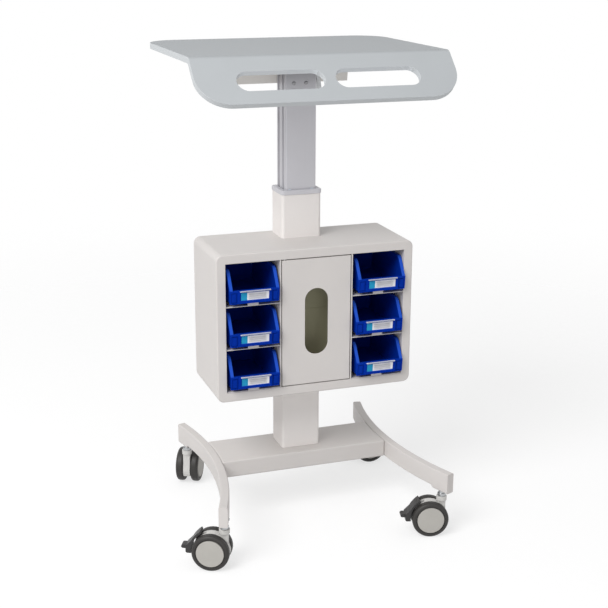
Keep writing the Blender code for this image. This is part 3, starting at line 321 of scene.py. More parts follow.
def mark(piece, kind, test):
    """Edit mode with only the corners, edges or faces selected that pass the test."""
    take(piece)
    bpy.ops.object.mode_set(mode="EDIT")
    bpy.ops.mesh.select_mode(type=kind)
    bpy.ops.mesh.select_all(action="DESELECT")
    form = bmesh.from_edit_mesh(piece.data)
    form.normal_update()
    for part in {"VERT": form.verts, "EDGE": form.edges, "FACE": form.faces}[kind]:
        part.select_set(bool(test(part)))
    form.select_flush_mode()
    bmesh.update_edit_mesh(piece.data)


def work(piece, kind, test, operator, **settings):
    """One modelling step on the chosen corners, edges or faces."""
    mark(piece, kind, test)
    operator(**settings)
    bpy.ops.object.mode_set(mode="OBJECT")
    return piece


def shift(piece, test, by):
    """Move the chosen corners."""
    return work(piece, "VERT", test, bpy.ops.transform.translate, value=by)


def bevel(piece, test, width, segments):
    """Round the chosen edges."""
    return work(piece, "EDGE", test, bpy.ops.mesh.bevel, offset=width, segments=segments, affect="EDGES")


def centre_of(edge):
    return (edge.verts[0].co + edge.verts[1].co) / 2


def along(edge, axis):
    """Whether an edge runs along x, y or z."""
    run = edge.verts[1].co - edge.verts[0].co
    return abs(run["xyz".index(axis)]) > ALONG_SHARE * run.length


def change(piece, kind, **settings):
    """Add a modifier and apply it."""
    take(piece)
    modifier = piece.modifiers.new(kind.lower(), kind)
    for name, value in settings.items():
        setattr(modifier, name, value)
    bpy.ops.object.modifier_apply(modifier=modifier.name)
    return piece


def cut(piece, tool, operation="DIFFERENCE"):
    """Boolean with a tool that is used up."""
    change(piece, "BOOLEAN", operation=operation, solver="EXACT", object=tool)
    discard(tool)
    return piece


def round_edges(piece, width, segments=3, angle=40):
    """Round every edge that is sharper than an angle in degrees."""
    return change(piece, "BEVEL", width=width, segments=segments, limit_method="ANGLE",
                  angle_limit=math.radians(angle), harden_normals=False, miter_outer="MITER_ARC")


def upright_corners(piece, radius, segments, test=every):
    """Round the upright edges of a block."""
    return bevel(piece, lambda e: along(e, "z") and test(e), radius, segments)


def long_hole(name, centre, length, height, depth, axis, across):
    """Round-ended cutter: a drum pulled apart along one direction."""
    tool = drum(name, (0, 0, 0), height / 2, depth, axis, HOLE_SIDES)
    tool.rotation_euler["xyz".index(axis)] = math.pi / HOLE_SIDES
    settle(tool)
    index = "xyz".index(across)
    pull = Vector((0, 0, 0))
    pull[index] = (length - height) / 2
    shift(tool, lambda v: v.co[index] > 0, pull)
    shift(tool, lambda v: v.co[index] < 0, -pull)
    tool.location = centre
    return settle(tool)


def refined(node, rounding=None):
    """Copy of a solid with its corners merged and, where asked, its edges rounded."""
    piece = NODES[node].copy()
    piece.data = NODES[node].data.copy()
    piece.name = node + "_shown"
    bpy.context.scene.collection.objects.link(piece)
    for key in list(piece.keys()):
        del piece[key]
    piece.parent = None
    take(piece)
    bpy.ops.mesh.customdata_custom_splitnormals_clear()
    bpy.ops.object.mode_set(mode="EDIT")
    bpy.ops.mesh.select_all(action="SELECT")
    bpy.ops.mesh.remove_doubles(threshold=MERGE)
    bpy.ops.mesh.dissolve_limited(angle_limit=math.radians(FLAT_ANGLE))
    bpy.ops.object.mode_set(mode="OBJECT")
    if rounding:
        round_edges(piece, *ROUNDING[rounding])
    return piece


def twin(piece, name, matrix):
    """Copy with its own mesh, moved into its place."""
    copy = piece.copy()
    copy.data = piece.data.copy()
    copy.name = name
    bpy.context.scene.collection.objects.link(copy)
    copy.matrix_world = matrix
    return settle(copy)


def tint(piece, test, name="painted_shading"):
    """Mark the faces that get painted light in the piece's finish."""
    marks = piece.data.attributes.new(name, "FLOAT", "FACE")
    for face in piece.data.polygons:
        marks.data[face.index].value = 1.0 if test(face) else 0.0
    return piece


def ready(piece, finish, body, replaced=None, angle=SHARP_ANGLE):
    """Shade a finished piece, give it its finish and hang it on its body."""
    take(piece)
    bpy.ops.object.shade_smooth_by_angle(angle=math.radians(angle))
    change(piece, "WEIGHTED_NORMAL", keep_sharp=True)
    piece.data.materials.clear()
    piece.data.materials.append(finish)
    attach(piece, body)
    if replaced:
        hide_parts(replaced)
    return piece


def new_finish(name, colour, roughness, metallic=0.0):
    """Plain finish and the shader node that holds it."""
    material = bpy.data.materials.new(name)
    material.use_nodes = True
    shader = material.node_tree.nodes["Principled BSDF"]
    shader.inputs["Base Color"].default_value = (*colour, 1)
    shader.inputs["Roughness"].default_value = roughness
    shader.inputs["Metallic"].default_value = metallic
    return material, shader


def add(material, kind, inputs=(), **settings):
    """New shader node with its settings and the values of its inputs."""
    node = material.node_tree.nodes.new(kind)
    for name, value in settings.items():
        setattr(node, name, value)
    for name, value in dict(inputs).items():
        node.inputs[name].default_value = value
    return node


def join(material, source, target):
    material.node_tree.links.new(source, target)


def noise(material, scale, detail, stretch=(1, 1, 1)):
    """Noise on Object coordinates, stretched where the grain runs one way."""
    where = add(material, "ShaderNodeTexCoord")
    mapping = add(material, "ShaderNodeMapping", {"Scale": stretch})
    texture = add(material, "ShaderNodeTexNoise",
                  {"Scale": scale, "Detail": detail, "Roughness": NOISE_ROUGHNESS})
    join(material, where.outputs["Object"], mapping.inputs["Vector"])
    join(material, mapping.outputs["Vector"], texture.inputs["Vector"])
    return texture


def shade(colour, factor):
    return tuple(c * factor for c in colour)


def wander(material, shader, patch, colour, spread):
    """Base colour that wanders in slow patches between two close shades."""
    cloud = noise(material, patch, CLOUD_DETAIL)
    ramp = add(material, "ShaderNodeValToRGB")
    for stop, position, factor in zip(ramp.color_ramp.elements, COLOUR_RANGE, (1 - spread, 1 + spread)):
        stop.position = position
        stop.color = (*shade(colour, factor), 1)
    join(material, cloud.outputs["Fac"], ramp.inputs["Fac"])
    join(material, ramp.outputs["Color"], shader.inputs["Base Color"])


def gloss(material, shader, texture, low, high):
    """Roughness that follows the grain."""
    spread = add(material, "ShaderNodeMapRange", {"From Min": GLOSS_RANGE[0], "From Max": GLOSS_RANGE[1],
                                                  "To Min": low, "To Max": high})
    join(material, texture.outputs["Fac"], spread.inputs["Value"])
    join(material, spread.outputs["Result"], shader.inputs["Roughness"])


def relief(material, shader, texture, height):
    """Surface that rises and falls with the grain."""
    bump = add(material, "ShaderNodeBump", {"Strength": GRAIN_STRENGTH, "Distance": height})
    join(material, texture.outputs["Fac"], bump.inputs["Height"])
    join(material, bump.outputs["Normal"], shader.inputs["Normal"])


def moulded(name, colour, roughness, grain, height, spread, metallic=0.0, stretch=(1, 1, 1), patch=9,
            shine=0.5):
    """Finish with a slow wander of colour over a fine grain of gloss and height."""
    material, shader = new_finish(name, colour, roughness, metallic)
    shader.inputs["Specular IOR Level"].default_value = shine
    wander(material, shader, patch, colour, spread)
    fine = noise(material, grain, GRAIN_DETAIL, stretch)
    gloss(material, shader, fine, roughness - GLOSS_SPREAD, roughness + GLOSS_SPREAD)
    relief(material, shader, fine, height)
    return material


def climb(material, axis, low, high):
    """Smooth step from 0 to 1 along one axis of the Object coordinates."""
    where = add(material, "ShaderNodeTexCoord")
    parts = add(material, "ShaderNodeSeparateXYZ")
    step = add(material, "ShaderNodeMapRange", {"From Min": low, "From Max": high},
               interpolation_type="SMOOTHSTEP")
    join(material, where.outputs["Object"], parts.inputs["Vector"])
    join(material, parts.outputs[axis], step.inputs["Value"])
    return step.outputs["Result"]


def marked(material, name="painted_shading"):
    """1 on the marked faces and 0 on the others."""
    return add(material, "ShaderNodeAttribute", attribute_name=name).outputs["Fac"]


def painted_shading(material, share, second):
    """Base colour that changes by a share to a second one, which paints light and shade into the finish."""
    colour = material.node_tree.nodes["Principled BSDF"].inputs["Base Color"]
    blend = add(material, "ShaderNodeMixRGB", {"Color2": (*second, 1)})
    join(material, share, blend.inputs["Fac"])
    join(material, colour.links[0].from_socket, blend.inputs["Color1"])
    join(material, blend.outputs["Color"], colour)
    return material


def bin_finish():
    """Blue polypropylene, paler along the rounded edges that catch the light."""
    material = moulded("blue_polypropylene", BIN_BLUE, 0.36, 450, 0.00006, 0.06, patch=25, shine=0.03)
    return painted_shading(material, marked(material), BIN_HIGHLIGHT_BLUE)


def profile_finish():
    """Satin aluminium, darker at the top where the worktop keeps the light off."""
    material = moulded("satin_aluminium", PROFILE_GREY, 0.40, 500, 0.00003, 0.02, 0.4, PROFILE_STRETCH)
    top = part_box("inner_column")[1].z - PROFILE_SHADE_TOP
    return painted_shading(material, climb(material, "Z", top - PROFILE_SHADE_DROP, top), PROFILE_SHADED)


def worktop_finish():
    """Grey moulding: a painted shade makes the flat top darker than the bent front, painted light makes the
    edges and the slot walls paler.
    """
    low, high = TOP_ROUGHNESS
    material, shader = new_finish("grey_worktop_moulding", TOP_FLAP_GREY, (low + high) / 2)
    shader.inputs["Specular IOR Level"].default_value = TOP_SHINE
    wander(material, shader, TOP_PATCH, TOP_FLAP_GREY, TOP_SPREAD)
    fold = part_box("worktop")[1].y - TOP_BEND_START
    # Painted shade: the flat top behind the fold takes the darker grey
    flat = climb(material, "Y", fold - TOP_BEND_RADIUS / 4, fold + TOP_BEND_RADIUS / 3)
    painted_shading(material, flat, TOP_FLAT_PAINTED_SHADE)
    painted_shading(material, marked(material), TOP_EDGE_PAINTED_LIGHT)
    painted_shading(material, marked(material, "slot_painted_light"), TOP_SLOT_PAINTED_LIGHT)
    grain = noise(material, TOP_GRAIN, GRAIN_DETAIL)
    gloss(material, shader, grain, low, high)
    relief(material, shader, grain, TOP_GRAIN_HEIGHT)
    return material


def make_finishes():
    """Every finish of the cart, by name."""
    # Colour, roughness, scale and height of the grain, spread of the colour, then what isn't usual
    return {
        "white": moulded("white_powder_coat", (0.632, 0.602, 0.584), 0.45, 900, 0.00008, 0.012, shine=0.35),
        "tube": moulded("bright_white_coat", (0.856, 0.82, 0.80), 0.55, 900, 0.00008, 0.012, shine=0.2),
        # Olive lining: a sheet and colour that paint the shade seen through the door's oval
        "inside": moulded("olive_lining_painted_shade", (0.60, 0.585, 0.40), 0.6, 900, 0.00008, 0.03, shine=0.3),
        "top": worktop_finish(),
        # Bracket paler than the white coat: painted light on a part that sits in the worktop's shade
        "bracket": moulded("bracket_coat", (0.93, 0.90, 0.86), 0.5, 900, 0.00008, 0.02),
        "aluminium": profile_finish(),
        "collar": moulded("collar_plastic", (0.62, 0.614, 0.65), 0.45, 600, 0.00008, 0.015),
        "glide": moulded("glide_acetal", (0.62, 0.66, 0.72), 0.4, 900, 0.00003, 0.01),
        "steel": moulded("dark_steel", (0.32, 0.32, 0.33), 0.38, 500, 0.00004, 0.04, 1.0),
        "zinc": moulded("bright_zinc", (0.46, 0.47, 0.48), 0.32, 700, 0.00004, 0.05, 1.0, patch=90),
        "blue": bin_finish(),
        # Pale sleeve lip: painted highlight along the top of the label holder
        "sleeve": moulded("sleeve_lip_painted_highlight", (0.85, 0.87, 0.95), 0.3, 900, 0.00003, 0.03, patch=60),
        "card": moulded("label_card", (0.86, 0.86, 0.90), 0.7, 1800, 0.00003, 0.02, **PAPER),
        "strip": moulded("cyan_card_strip", (0.013, 0.30, 0.54), 0.6, 1800, 0.00003, 0.03, **PAPER),
        "rules": moulded("card_rule_ink", (0.70, 0.70, 0.74), 0.7, 1800, 0.00002, 0.03, **PAPER),
        "tyre": moulded("charcoal_tyre", (0.032, 0.030, 0.028), 0.5, 650, 0.0001, 0.1, patch=70, shine=0.35),
        "cap": moulded("wheel_cap_plastic", (0.43, 0.415, 0.385), 0.5, 900, 0.00006, 0.02, patch=40),
        "fork": moulded("fork_plastic", (0.60, 0.59, 0.57), 0.42, 700, 0.00008, 0.02, patch=40),
        "pedal": moulded("pedal_plastic", (0.026, 0.025, 0.025), 0.45, 700, 0.0001, 0.08, patch=60),
        "magnet": moulded("magnet_black", (0.03, 0.03, 0.03), 0.5, 700, 0.00006, 0.1),
    }


def fold_sheet(sheet, fold, arc):
    """Turn what is in front of the fold down, one narrow row after the other."""
    step, turn = arc / TOP_BEND_STEPS, TOP_BEND_ANGLE / TOP_BEND_STEPS
    holds = [fold - Vector((0, step * (i + 0.5), 0)) for i in range(TOP_BEND_STEPS)]
    for hold in holds:
        work(sheet, "VERT", every, bpy.ops.mesh.bisect, plane_co=hold, plane_no=(0, 1, 0))
    for hold in reversed(holds):
        work(sheet, "VERT", lambda v: v.co.y < hold.y - step / 4, bpy.ops.transform.rotate,
             value=-turn, orient_axis="X", center_override=hold)
        work(sheet, "VERT", lambda v: abs(v.co.y - hold.y) < step / 4, bpy.ops.transform.rotate,
             value=-turn / 2, orient_axis="X", center_override=hold)


def make_worktop(finishes):
    """One thick sheet: round corners, two handle slots, soft edges, then the front folded down."""
    low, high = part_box("worktop")
    back, top, x = high.y, high.z, (low.x + high.x) / 2
    half_fold = TOP_BEND_RADIUS * math.tan(TOP_BEND_ANGLE / 2)
    fold = back - TOP_BEND_START + half_fold
    arc = TOP_BEND_RADIUS * TOP_BEND_ANGLE
    front = fold - arc - TOP_FLAP + half_fold
    sheet = block("worktop_shown", (low.x, front, top - TOP_SHEET), (high.x, back, top))
    middle = (back + front) / 2
    upright_corners(sheet, TOP_BACK_CORNER, TOP_BACK_STEPS, lambda e: centre_of(e).y > middle)
    upright_corners(sheet, TOP_FLAP_CORNER, TOP_FLAP_STEPS, lambda e: centre_of(e).y < front + FIT)
    slot_y = fold - arc + half_fold - SLOT_DROP - SLOT_HEIGHT / 2
    for sign in (-1, 1):
        slot = (x + sign * (SLOT_SPACING + SLOT_LENGTH) / 2, slot_y, top)
        cut(sheet, long_hole("slot_tool", slot, SLOT_LENGTH, SLOT_HEIGHT, SLOT_TOOL_DEPTH, "z", "x"))
    round_edges(sheet, TOP_EDGE, segments=6, angle=50)
    # Painted light: paler finish on the rounded edges and on the upper walls of the slots
    tint(sheet, lambda f: abs(f.normal.z) < TOP_EDGE_TURN)
    slot_end = SLOT_SPACING / 2 + SLOT_LENGTH
    tint(sheet, lambda f: f.normal.y < -TOP_SLOT_TURN and abs(f.center.x - x) < slot_end
         and abs(f.center.y - slot_y) < SLOT_HEIGHT / 2 + TOP_EDGE, "slot_painted_light")
    fold_sheet(sheet, Vector((x, fold, top)), arc)
    ready(sheet, finishes["top"], "lift_head", "worktop")


def make_cabinet(finishes):
    """Frame with round corners, its opening and the passage for the column."""
    low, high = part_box("cabinet_shell")
    shell = block("cabinet_shown", low, high)
    bevel(shell, lambda e: along(e, "y"), CABINET_CORNER, segments=10)
    bevel(shell, lambda e: centre_of(e).y < low.y + FIT, CABINET_FRONT_EDGE, segments=4)
    edge, past = Vector((CABINET_FRAME, 0, CABINET_FRAME)), Vector((0, TOOL_PAST, 0))
    cut(shell, block("opening_tool", low + edge - past, high - edge + past))
    bevel(shell, lambda e: e.calc_face_angle(0) > SHARP_TURN and abs(centre_of(e).y - low.y) < FIT,
          CABINET_INNER_EDGE, segments=2)
    gap = Vector((FIT, FIT, TOOL_LIFT))
    column = block("column_tool", Vector((COLUMN_LOW.x, COLUMN_LOW.y, low.z)) - gap,
                   Vector((COLUMN_HIGH.x, COLUMN_HIGH.y, high.z)) + gap)
    upright_corners(column, COLUMN_CORNER + FIT, segments=6)
    cut(shell, column)
    ready(shell, finishes["white"], "base", "cabinet_shell")


def make_liner(finishes):
    """Lining of the middle compartment with one level and one upright seam; its olive colour is a painted
    shade, the look of the inside through the oval.
    """
    low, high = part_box("compartment_liner")
    liner = refined("compartment_liner")
    middle, seam = (low.z + high.z) / 2, MIDDLE.x - LINER_SEAM_X
    cut(liner, block("seam_tool", (low.x - SHEET, low.y - SHEET, middle - LINER_SEAM / 2),
                     (high.x + SHEET, low.y + SHEET / 2, middle + LINER_SEAM / 2)))
    cut(liner, block("seam_tool", (seam - LINER_SEAM / 2, low.y - SHEET, low.z - SHEET),
                     (seam + LINER_SEAM / 2, low.y + SHEET / 2, high.z + SHEET)))
    ready(liner, finishes["inside"], "base", "compartment_liner")


def make_panels(finishes):
    """Partitions, back and shelves with softened edges."""
    panels = [(name, "panel") for name in ("left_partition", "right_partition", "cabinet_back")]
    panels += [(side + "_shelf_" + level, "shelf") for side in SIDES for level in LEVELS]
    for name, rounding in panels:
        ready(refined(name, rounding), finishes["white"], "base", name)


def make_door(finishes):
    """Pan-shaped door with an oval opening and a bored stile for its hinge rod."""
    low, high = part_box("door")
    door = block("door_shown", low, high)
    cut(door, block("pan_tool", (low.x + DOOR_STILE, low.y + SHEET, low.z + SHEET),
                    (high.x - SHEET, high.y + SHEET, high.z - SHEET)))
    middle = (low + high) / 2
    cut(door, long_hole("oval_tool", middle, OVAL_HEIGHT, OVAL_WIDTH, OVAL_TOOL_DEPTH, "y", "z"))
    round_edges(door, DOOR_EDGE, segments=2, angle=50)
    hinge = (low.x + HINGE_INSET, low.y + HINGE_SET, middle.z)
    cut(door, drum("bore_tool", hinge, HINGE_BORE, FAR, "z", sides=24))
    ready(door, finishes["white"], "door", "door")


def bin_lean(z):
    """How far the bin's front leans forward at a height."""
    return -BIN_LEAN * z / BIN_LIP


def bin_outline(name, half, front, back, low, top, tuck=0.0):
    """Solid with the bin's side view: leaning front, low lip, sloping mouth and round shoulder."""
    lip, rise = BIN_LIP, BIN_HEIGHT - BIN_LIP
    solid = block(name, (-half, front, 0), (half, back, top))
    shift(solid, lambda v: v.co.z > lip and v.co.y < BIN_LENGTH / 2, (0, bin_lean(top), 0))
    if low:
        work(solid, "VERT", every, bpy.ops.mesh.bisect, plane_co=(0, 0, low), plane_no=(0, 0, 1),
             clear_inner=True, use_fill=True)
    slope_foot = bin_lean(lip) + tuck
    notch = block("notch_tool", (-2 * FAR, -FAR, lip), (2 * FAR, slope_foot, lip + 2 * rise))
    shift(notch, lambda v: v.co.z > BIN_HEIGHT and v.co.y > -FAR / 2, (0, 2 * BIN_SLOPE_RUN, 0))
    cut(solid, notch)
    slope_top = slope_foot + BIN_SLOPE_RUN * (top - lip) / rise
    return bevel(solid, lambda e: along(e, "x") and abs(centre_of(e).y - slope_top) < FIT
                 and centre_of(e).z > top - FIT, BIN_SHOULDER, segments=8)


def lean_with_front(piece):
    """Tilt a block on the bin's front as far as the front leans."""
    heights = sorted({round(v.co.z, 5) for v in piece.data.vertices})
    for z in heights:
        shift(piece, lambda v: abs(v.co.z - z) < FIT / 3, (0, bin_lean(z), 0))
    return piece


def widen(piece, by):
    """Draft: spread the upper corners of a bin solid to both sides."""
    for sign in (-1, 1):
        shift(piece, lambda v: v.co.z > BIN_LIP and v.co.x * sign > 0, (sign * by, 0, 0))


def make_bin_rim():
    """Front panel and the flange that runs on from it up the slopes and round the top."""
    back = BIN_LENGTH + BIN_WALL
    rim = bin_outline("rim", BIN_HALF_WIDTH, -BIN_PANEL, back, BIN_WALL / 4, BIN_HEIGHT)
    below = bin_outline("below_tool", FAR, -BIN_PANEL, 2 * back, 0, BIN_HEIGHT)
    below.location = (0, BIN_RIM_BACK, -BIN_RIM_DROP)
    cut(rim, settle(below))
    mouth = block("mouth_tool", (-BIN_HALF_MOUTH, -FAR, BIN_LIP),
                  (BIN_HALF_MOUTH, BIN_LENGTH - BIN_WALL, 2 * BIN_HEIGHT))
    upright_corners(mouth, BIN_CORNER - BIN_WALL, segments=5)
    cut(rim, mouth)
    round_edges(rim, BIN_RIM_EDGE, angle=50)
    deep, wide = BIN_GROOVE_DEPTH - BIN_PANEL, Vector((BIN_GROOVE, 0, BIN_GROOVE))
    past = Vector((0, FAR, 0))
    for sign in (-1, 1):
        near, far = sorted((sign * BIN_PAD_IN, sign * BIN_PAD_OUT))
        low, high = Vector((near, -BIN_LENGTH, BIN_PAD_LOW)), Vector((far, deep, BIN_PAD_HIGH))
        ring = block("groove_tool", low, high)
        cut(ring, block("pad_tool", low + wide - past, high - wide + past))
        cut(rim, lean_with_front(ring))
    return rim


def make_bin_tub():
    """Drafted side walls, back and floor, open at the front and on top."""
    tub = bin_outline("bin_form", BIN_HALF_FOOT, -BIN_TUCK, BIN_LENGTH, 0, BIN_HEIGHT - BIN_TUCK, BIN_TUCK)
    widen(tub, BIN_DRAFT)
    bevel(tub, lambda e: centre_of(e).y > BIN_LENGTH - FIT and not along(e, "x"), BIN_CORNER, segments=5)
    bevel(tub, lambda e: centre_of(e).z < FIT and centre_of(e).y > BIN_WALL, BIN_WALL, segments=3)
    half = BIN_HALF_FOOT - BIN_WALL
    inside = block("inside_tool", (-half, -FAR, BIN_WALL), (half, BIN_LENGTH - BIN_WALL, 2 * BIN_HEIGHT))
    widen(inside, 2 * BIN_DRAFT)
    bevel(inside, lambda e: centre_of(e).y > BIN_WALL and not along(e, "x") and not along(e, "y"),
          BIN_CORNER - BIN_WALL, segments=5)
    bevel(inside, lambda e: centre_of(e).z < BIN_WALL + FIT and centre_of(e).y > FIT - FAR,
          BIN_WALL, segments=3)
    return cut(tub, inside)


def make_label_holder():
    """Raised frame for the label card, open at the top."""
    border, rise, lip = HOLDER_BORDER, HOLDER_RISE + BIN_PANEL, BIN_LIP
    holder = block("holder", (-HOLDER_WIDTH / 2, -rise, border / 4),
                   (HOLDER_WIDTH / 2, -BIN_TUCK, lip - border / 4))
    lean_with_front(holder)
    pocket = block("pocket_tool", (border - HOLDER_WIDTH / 2, -2 * rise, HOLDER_SILL),
                   (HOLDER_WIDTH / 2 - border, HOLDER_POCKET - rise, lip - border / 2))
    cut(holder, lean_with_front(pocket))
    return round_edges(holder, HOLDER_EDGE, segments=2, angle=55)


def make_bin_form():
    """Open-fronted bin about the front edge of its floor."""
    tub = make_bin_tub()
    cut(tub, make_bin_rim(), "UNION")
    cut(tub, make_label_holder(), "UNION")
    reach, turn = BIN_SLOPE_RUN + BIN_SHOULDER, BIN_EDGE_TURN
    # Painted highlight on faces near the front that turn up and forward
    return tint(tub, lambda f: f.center.y < reach and f.normal.y < -turn and f.normal.z > turn)


def make_card_forms():
    """Label card, its coloured end, its ruled lines and the lip of its sleeve, whose pale colour is a
    painted highlight, leaning with the holder.
    """
    low, left = HOLDER_SILL + FIT, -CARD_WIDTH / 2
    deep = HOLDER_POCKET - HOLDER_RISE - BIN_PANEL
    forms = []
    for name, right, thick in (("card_form", left + CARD_WIDTH, CARD_SHEET),
                               ("strip_form", left + CARD_STRIP, CARD_SHEET + CARD_PRINT)):
        card = block(name, (left, deep - thick, low), (right, deep - CARD_PRINT, low + CARD_HEIGHT))
        forms.append(bevel(card, lambda e: along(e, "y"), CARD_CORNER, segments=2))
    start, face = left + CARD_STRIP + CARD_MARGIN, deep - CARD_SHEET
    rules = block("rules_form", (start, face - CARD_PRINT, low + CARD_RULE_LOW),
                  (start + CARD_RULE, face + CARD_PRINT, low + CARD_RULE_LOW + CARD_RULE_WIDTH))
    bevel(rules, lambda e: along(e, "y"), CARD_RULE_WIDTH / 4, segments=2)
    forms.append(change(rules, "ARRAY", count=CARD_RULES, use_relative_offset=False,
                        use_constant_offset=True, constant_offset_displace=(0, 0, CARD_RULE_STEP)))
    low = BIN_LIP - HOLDER_BORDER / 4 - FIT
    sleeve = block("sleeve_form", (-SLEEVE_WIDTH / 2, -BIN_PANEL - FIT - SLEEVE_SHEET, low),
                   (SLEEVE_WIDTH / 2, -BIN_PANEL - FIT, low + SLEEVE_HEIGHT))
    forms.append(round_edges(sleeve, SLEEVE_SHEET / 3))
    return [lean_with_front(form) for form in forms]


def make_bins(finishes):
    """Six copies of the bin, each with its label card."""
    form = make_bin_form()
    cards = {"card": "card", "card_end": "strip", "card_rules": "rules", "card_sleeve": "sleeve"}
    card_forms = make_card_forms()
    for side in SIDES:
        for level in LEVELS:
            name = side + "_bin_" + level
            low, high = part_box(name)
            front = low.y + BIN_LEAN + HOLDER_RISE + BIN_PANEL
            spot = Matrix.Translation(((low.x + high.x) / 2, front, low.z))
            ready(twin(form, name + "_shown", spot), finishes["blue"], name, name)
            for card, (ending, finish) in zip(card_forms, cards.items()):
                ready(twin(card, name + "_" + ending, spot), finishes[finish], name)
    discard(form, *card_forms)


def make_column(finishes):
    """Fixed tube, collar, lifting profile and what is on top of it."""
    ready(refined("outer_column"), finishes["tube"], "base", "outer_column",
          ROUND_SHARP_ANGLE)
    ready(refined("inner_column", "profile"), finishes["aluminium"], "lift_head",
          "inner_column", ROUND_SHARP_ANGLE)
    ready(refined("column_collar", "collar"), finishes["collar"], "base", "column_collar",
          ROUND_SHARP_ANGLE)
    ready(refined("worktop_bracket", "bracket"), finishes["bracket"], "lift_head",
          "worktop_bracket")
    ready(refined("release_lever", "lever"), finishes["zinc"], "lever", "release_lever")


def make_screw_form():
    """Button head with a six-sided socket, its seat at the origin and its face to +Z."""
    middle = (SCREW_HEAD - SCREW_SUNK) / 2
    screw = drum("screw_form", (0, 0, middle), SCREW_RADIUS, SCREW_HEAD + SCREW_SUNK, "z", sides=32)
    bevel(screw, lambda e: centre_of(e).z > SCREW_HEAD - FIT and not along(e, "z"), SCREW_DOME, segments=5)
    cut(screw, drum("socket_tool", (0, 0, SCREW_HEAD), SCREW_SOCKET, SCREW_HEAD, "z", sides=6))
    return round_edges(screw, FIT / 3, segments=2, angle=50)


def beside_stem(corner):
    """Point on a leg's right face beside a caster stem, and the way that face looks."""
    low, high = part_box(corner + "_stem")
    sign, inset = (1, LEG_THICKNESS) if corner.endswith("right") else (-1, 0)
    beam_low, beam_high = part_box("cross_beam")
    base_y = (beam_low.y + beam_high.y) / 2
    y = (low.y + high.y) / 2 - base_y
    bow = LEG_GAP / 2 + LEG_BOW
    x = bow - math.sqrt((LEG_BOW - inset) ** 2 - y ** 2)
    at = Vector((MIDDLE.x + sign * x, base_y + y, SET_SCREW_Z))
    return at, Vector((bow - x, -sign * y, 0)).normalized()


def make_screws(finishes):
    """Copies of one screw on the profile, the legs and the cabinet back."""
    front, forward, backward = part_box("inner_column")[0].y, Vector((0, -1, 0)), Vector((0, 1, 0))
    spots = []
    for side, x in zip(SIDES, (-BRACKET_SCREW_X, BRACKET_SCREW_X)):
        at = Vector((MIDDLE.x + BRACKET_SCREW_SHIFT + x, front, BRACKET_SCREW_Z))
        spots.append((side + "_bracket_screw", at, forward, BRACKET_SCREW_SIZE, "lift_head", "dark_steel"))
    for corner in CORNERS:
        spots.append((corner + "_set_screw", *beside_stem(corner), SMALL_SCREW, "base", "bright_zinc"))
    low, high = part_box("cabinet_back")
    inset = BACK_SCREW_INSET
    for level, z in zip(LEVELS, (low.z + inset, (low.z + high.z) / 2, high.z - inset)):
        for side, x in zip(SIDES, (high.x - inset, low.x + inset)):
            at = Vector((x, high.y, z))
            spots.append((side + "_back_screw_" + level, at, backward, 1.0, "base", "bright_zinc"))
    form = make_screw_form()
    for name, at, facing, size, body, slot in spots:
        turn = facing.to_track_quat("Z", "Y").to_matrix().to_4x4()
        spot = Matrix.Translation(at) @ turn @ Matrix.Scale(size, 4)
        ready(twin(form, name, spot), finishes[BY_SLOT[slot]], body)
    discard(form)


def make_glide_tips(finishes):
    """Tips of the glide strips that look out of the collar in front of the profile."""
    front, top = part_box("inner_column")[0].y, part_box("column_collar")[1].z
    size = Vector((GLIDE_TIP_WIDTH, GLIDE_TIP_DEPTH, GLIDE_TIP_HEIGHT))
    for side, x in zip(SIDES, (-GLIDE_TIP_X, GLIDE_TIP_X)):
        low = Vector((MIDDLE.x + x - GLIDE_TIP_WIDTH / 2, front - FIT - GLIDE_TIP_DEPTH, top - FIT))
        tip = round_edges(block(side + "_glide_tip", low, low + size), GLIDE_TIP_HEIGHT / 4)
        ready(tip, finishes["glide"], "base")


def make_base(finishes):
    """Beam welded between two bowed legs."""
    beam = refined("cross_beam")
    for sign in (-1, 1):
        shift(beam, lambda v: (v.co.x - MIDDLE.x) * sign > 0, (sign * WELD_REACH, 0, 0))
    ready(beam, finishes["white"], "base", "cross_beam", BASE_SHARP_ANGLE)
    for side in SIDES:
        leg = side + "_leg"
        ready(refined(leg), finishes["white"], "base", leg, BASE_SHARP_ANGLE)


def step_face(piece, sign, steps, upright):
    """Inset a drum's face at +Y or -Y step by step and push it along Y, with upright or sloping walls."""
    mark(piece, "FACE", lambda f: sign * f.normal.y > FACING and len(f.verts) > MANY_SIDES)
    for inset, push in steps:
        bpy.ops.mesh.inset(thickness=inset)
        if upright:
            bpy.ops.mesh.extrude_region_move(TRANSFORM_OT_translate={"value": (0, push, 0)})
        else:
            bpy.ops.transform.translate(value=(0, push, 0))
    bpy.ops.object.mode_set(mode="OBJECT")


def make_tyre_form():
    """Tyre about the axle along Y: seat for the cap at +Y, hub with a blind bore at the inner face."""
    tyre = drum("tyre_form", (0, WHEEL_WIDTH / 2, 0), WHEEL_RADIUS, WHEEL_WIDTH, "y", WHEEL_SIDES)
    rim = WHEEL_RADIUS - TYRE_RIM_NEAR
    bevel(tyre, lambda e: math.hypot(centre_of(e).x, centre_of(e).z) > rim and not along(e, "y"),
          TYRE_SHOULDER, segments=7)
    step_face(tyre, 1, TYRE_CAP_STEPS, upright=True)
    recess = WHEEL_RADIUS - TYRE_SHOULDER - TYRE_BACK_BORDER - HUB_RADIUS
    step_face(tyre, -1, ((TYRE_BACK_BORDER, TYRE_BACK_DEPTH), (recess, -HUB_RISE),
                         (HUB_RADIUS - AXLE_BORE, AXLE_SEAT)), upright=True)
    return round_edges(tyre, TYRE_EDGE, segments=2, angle=50)


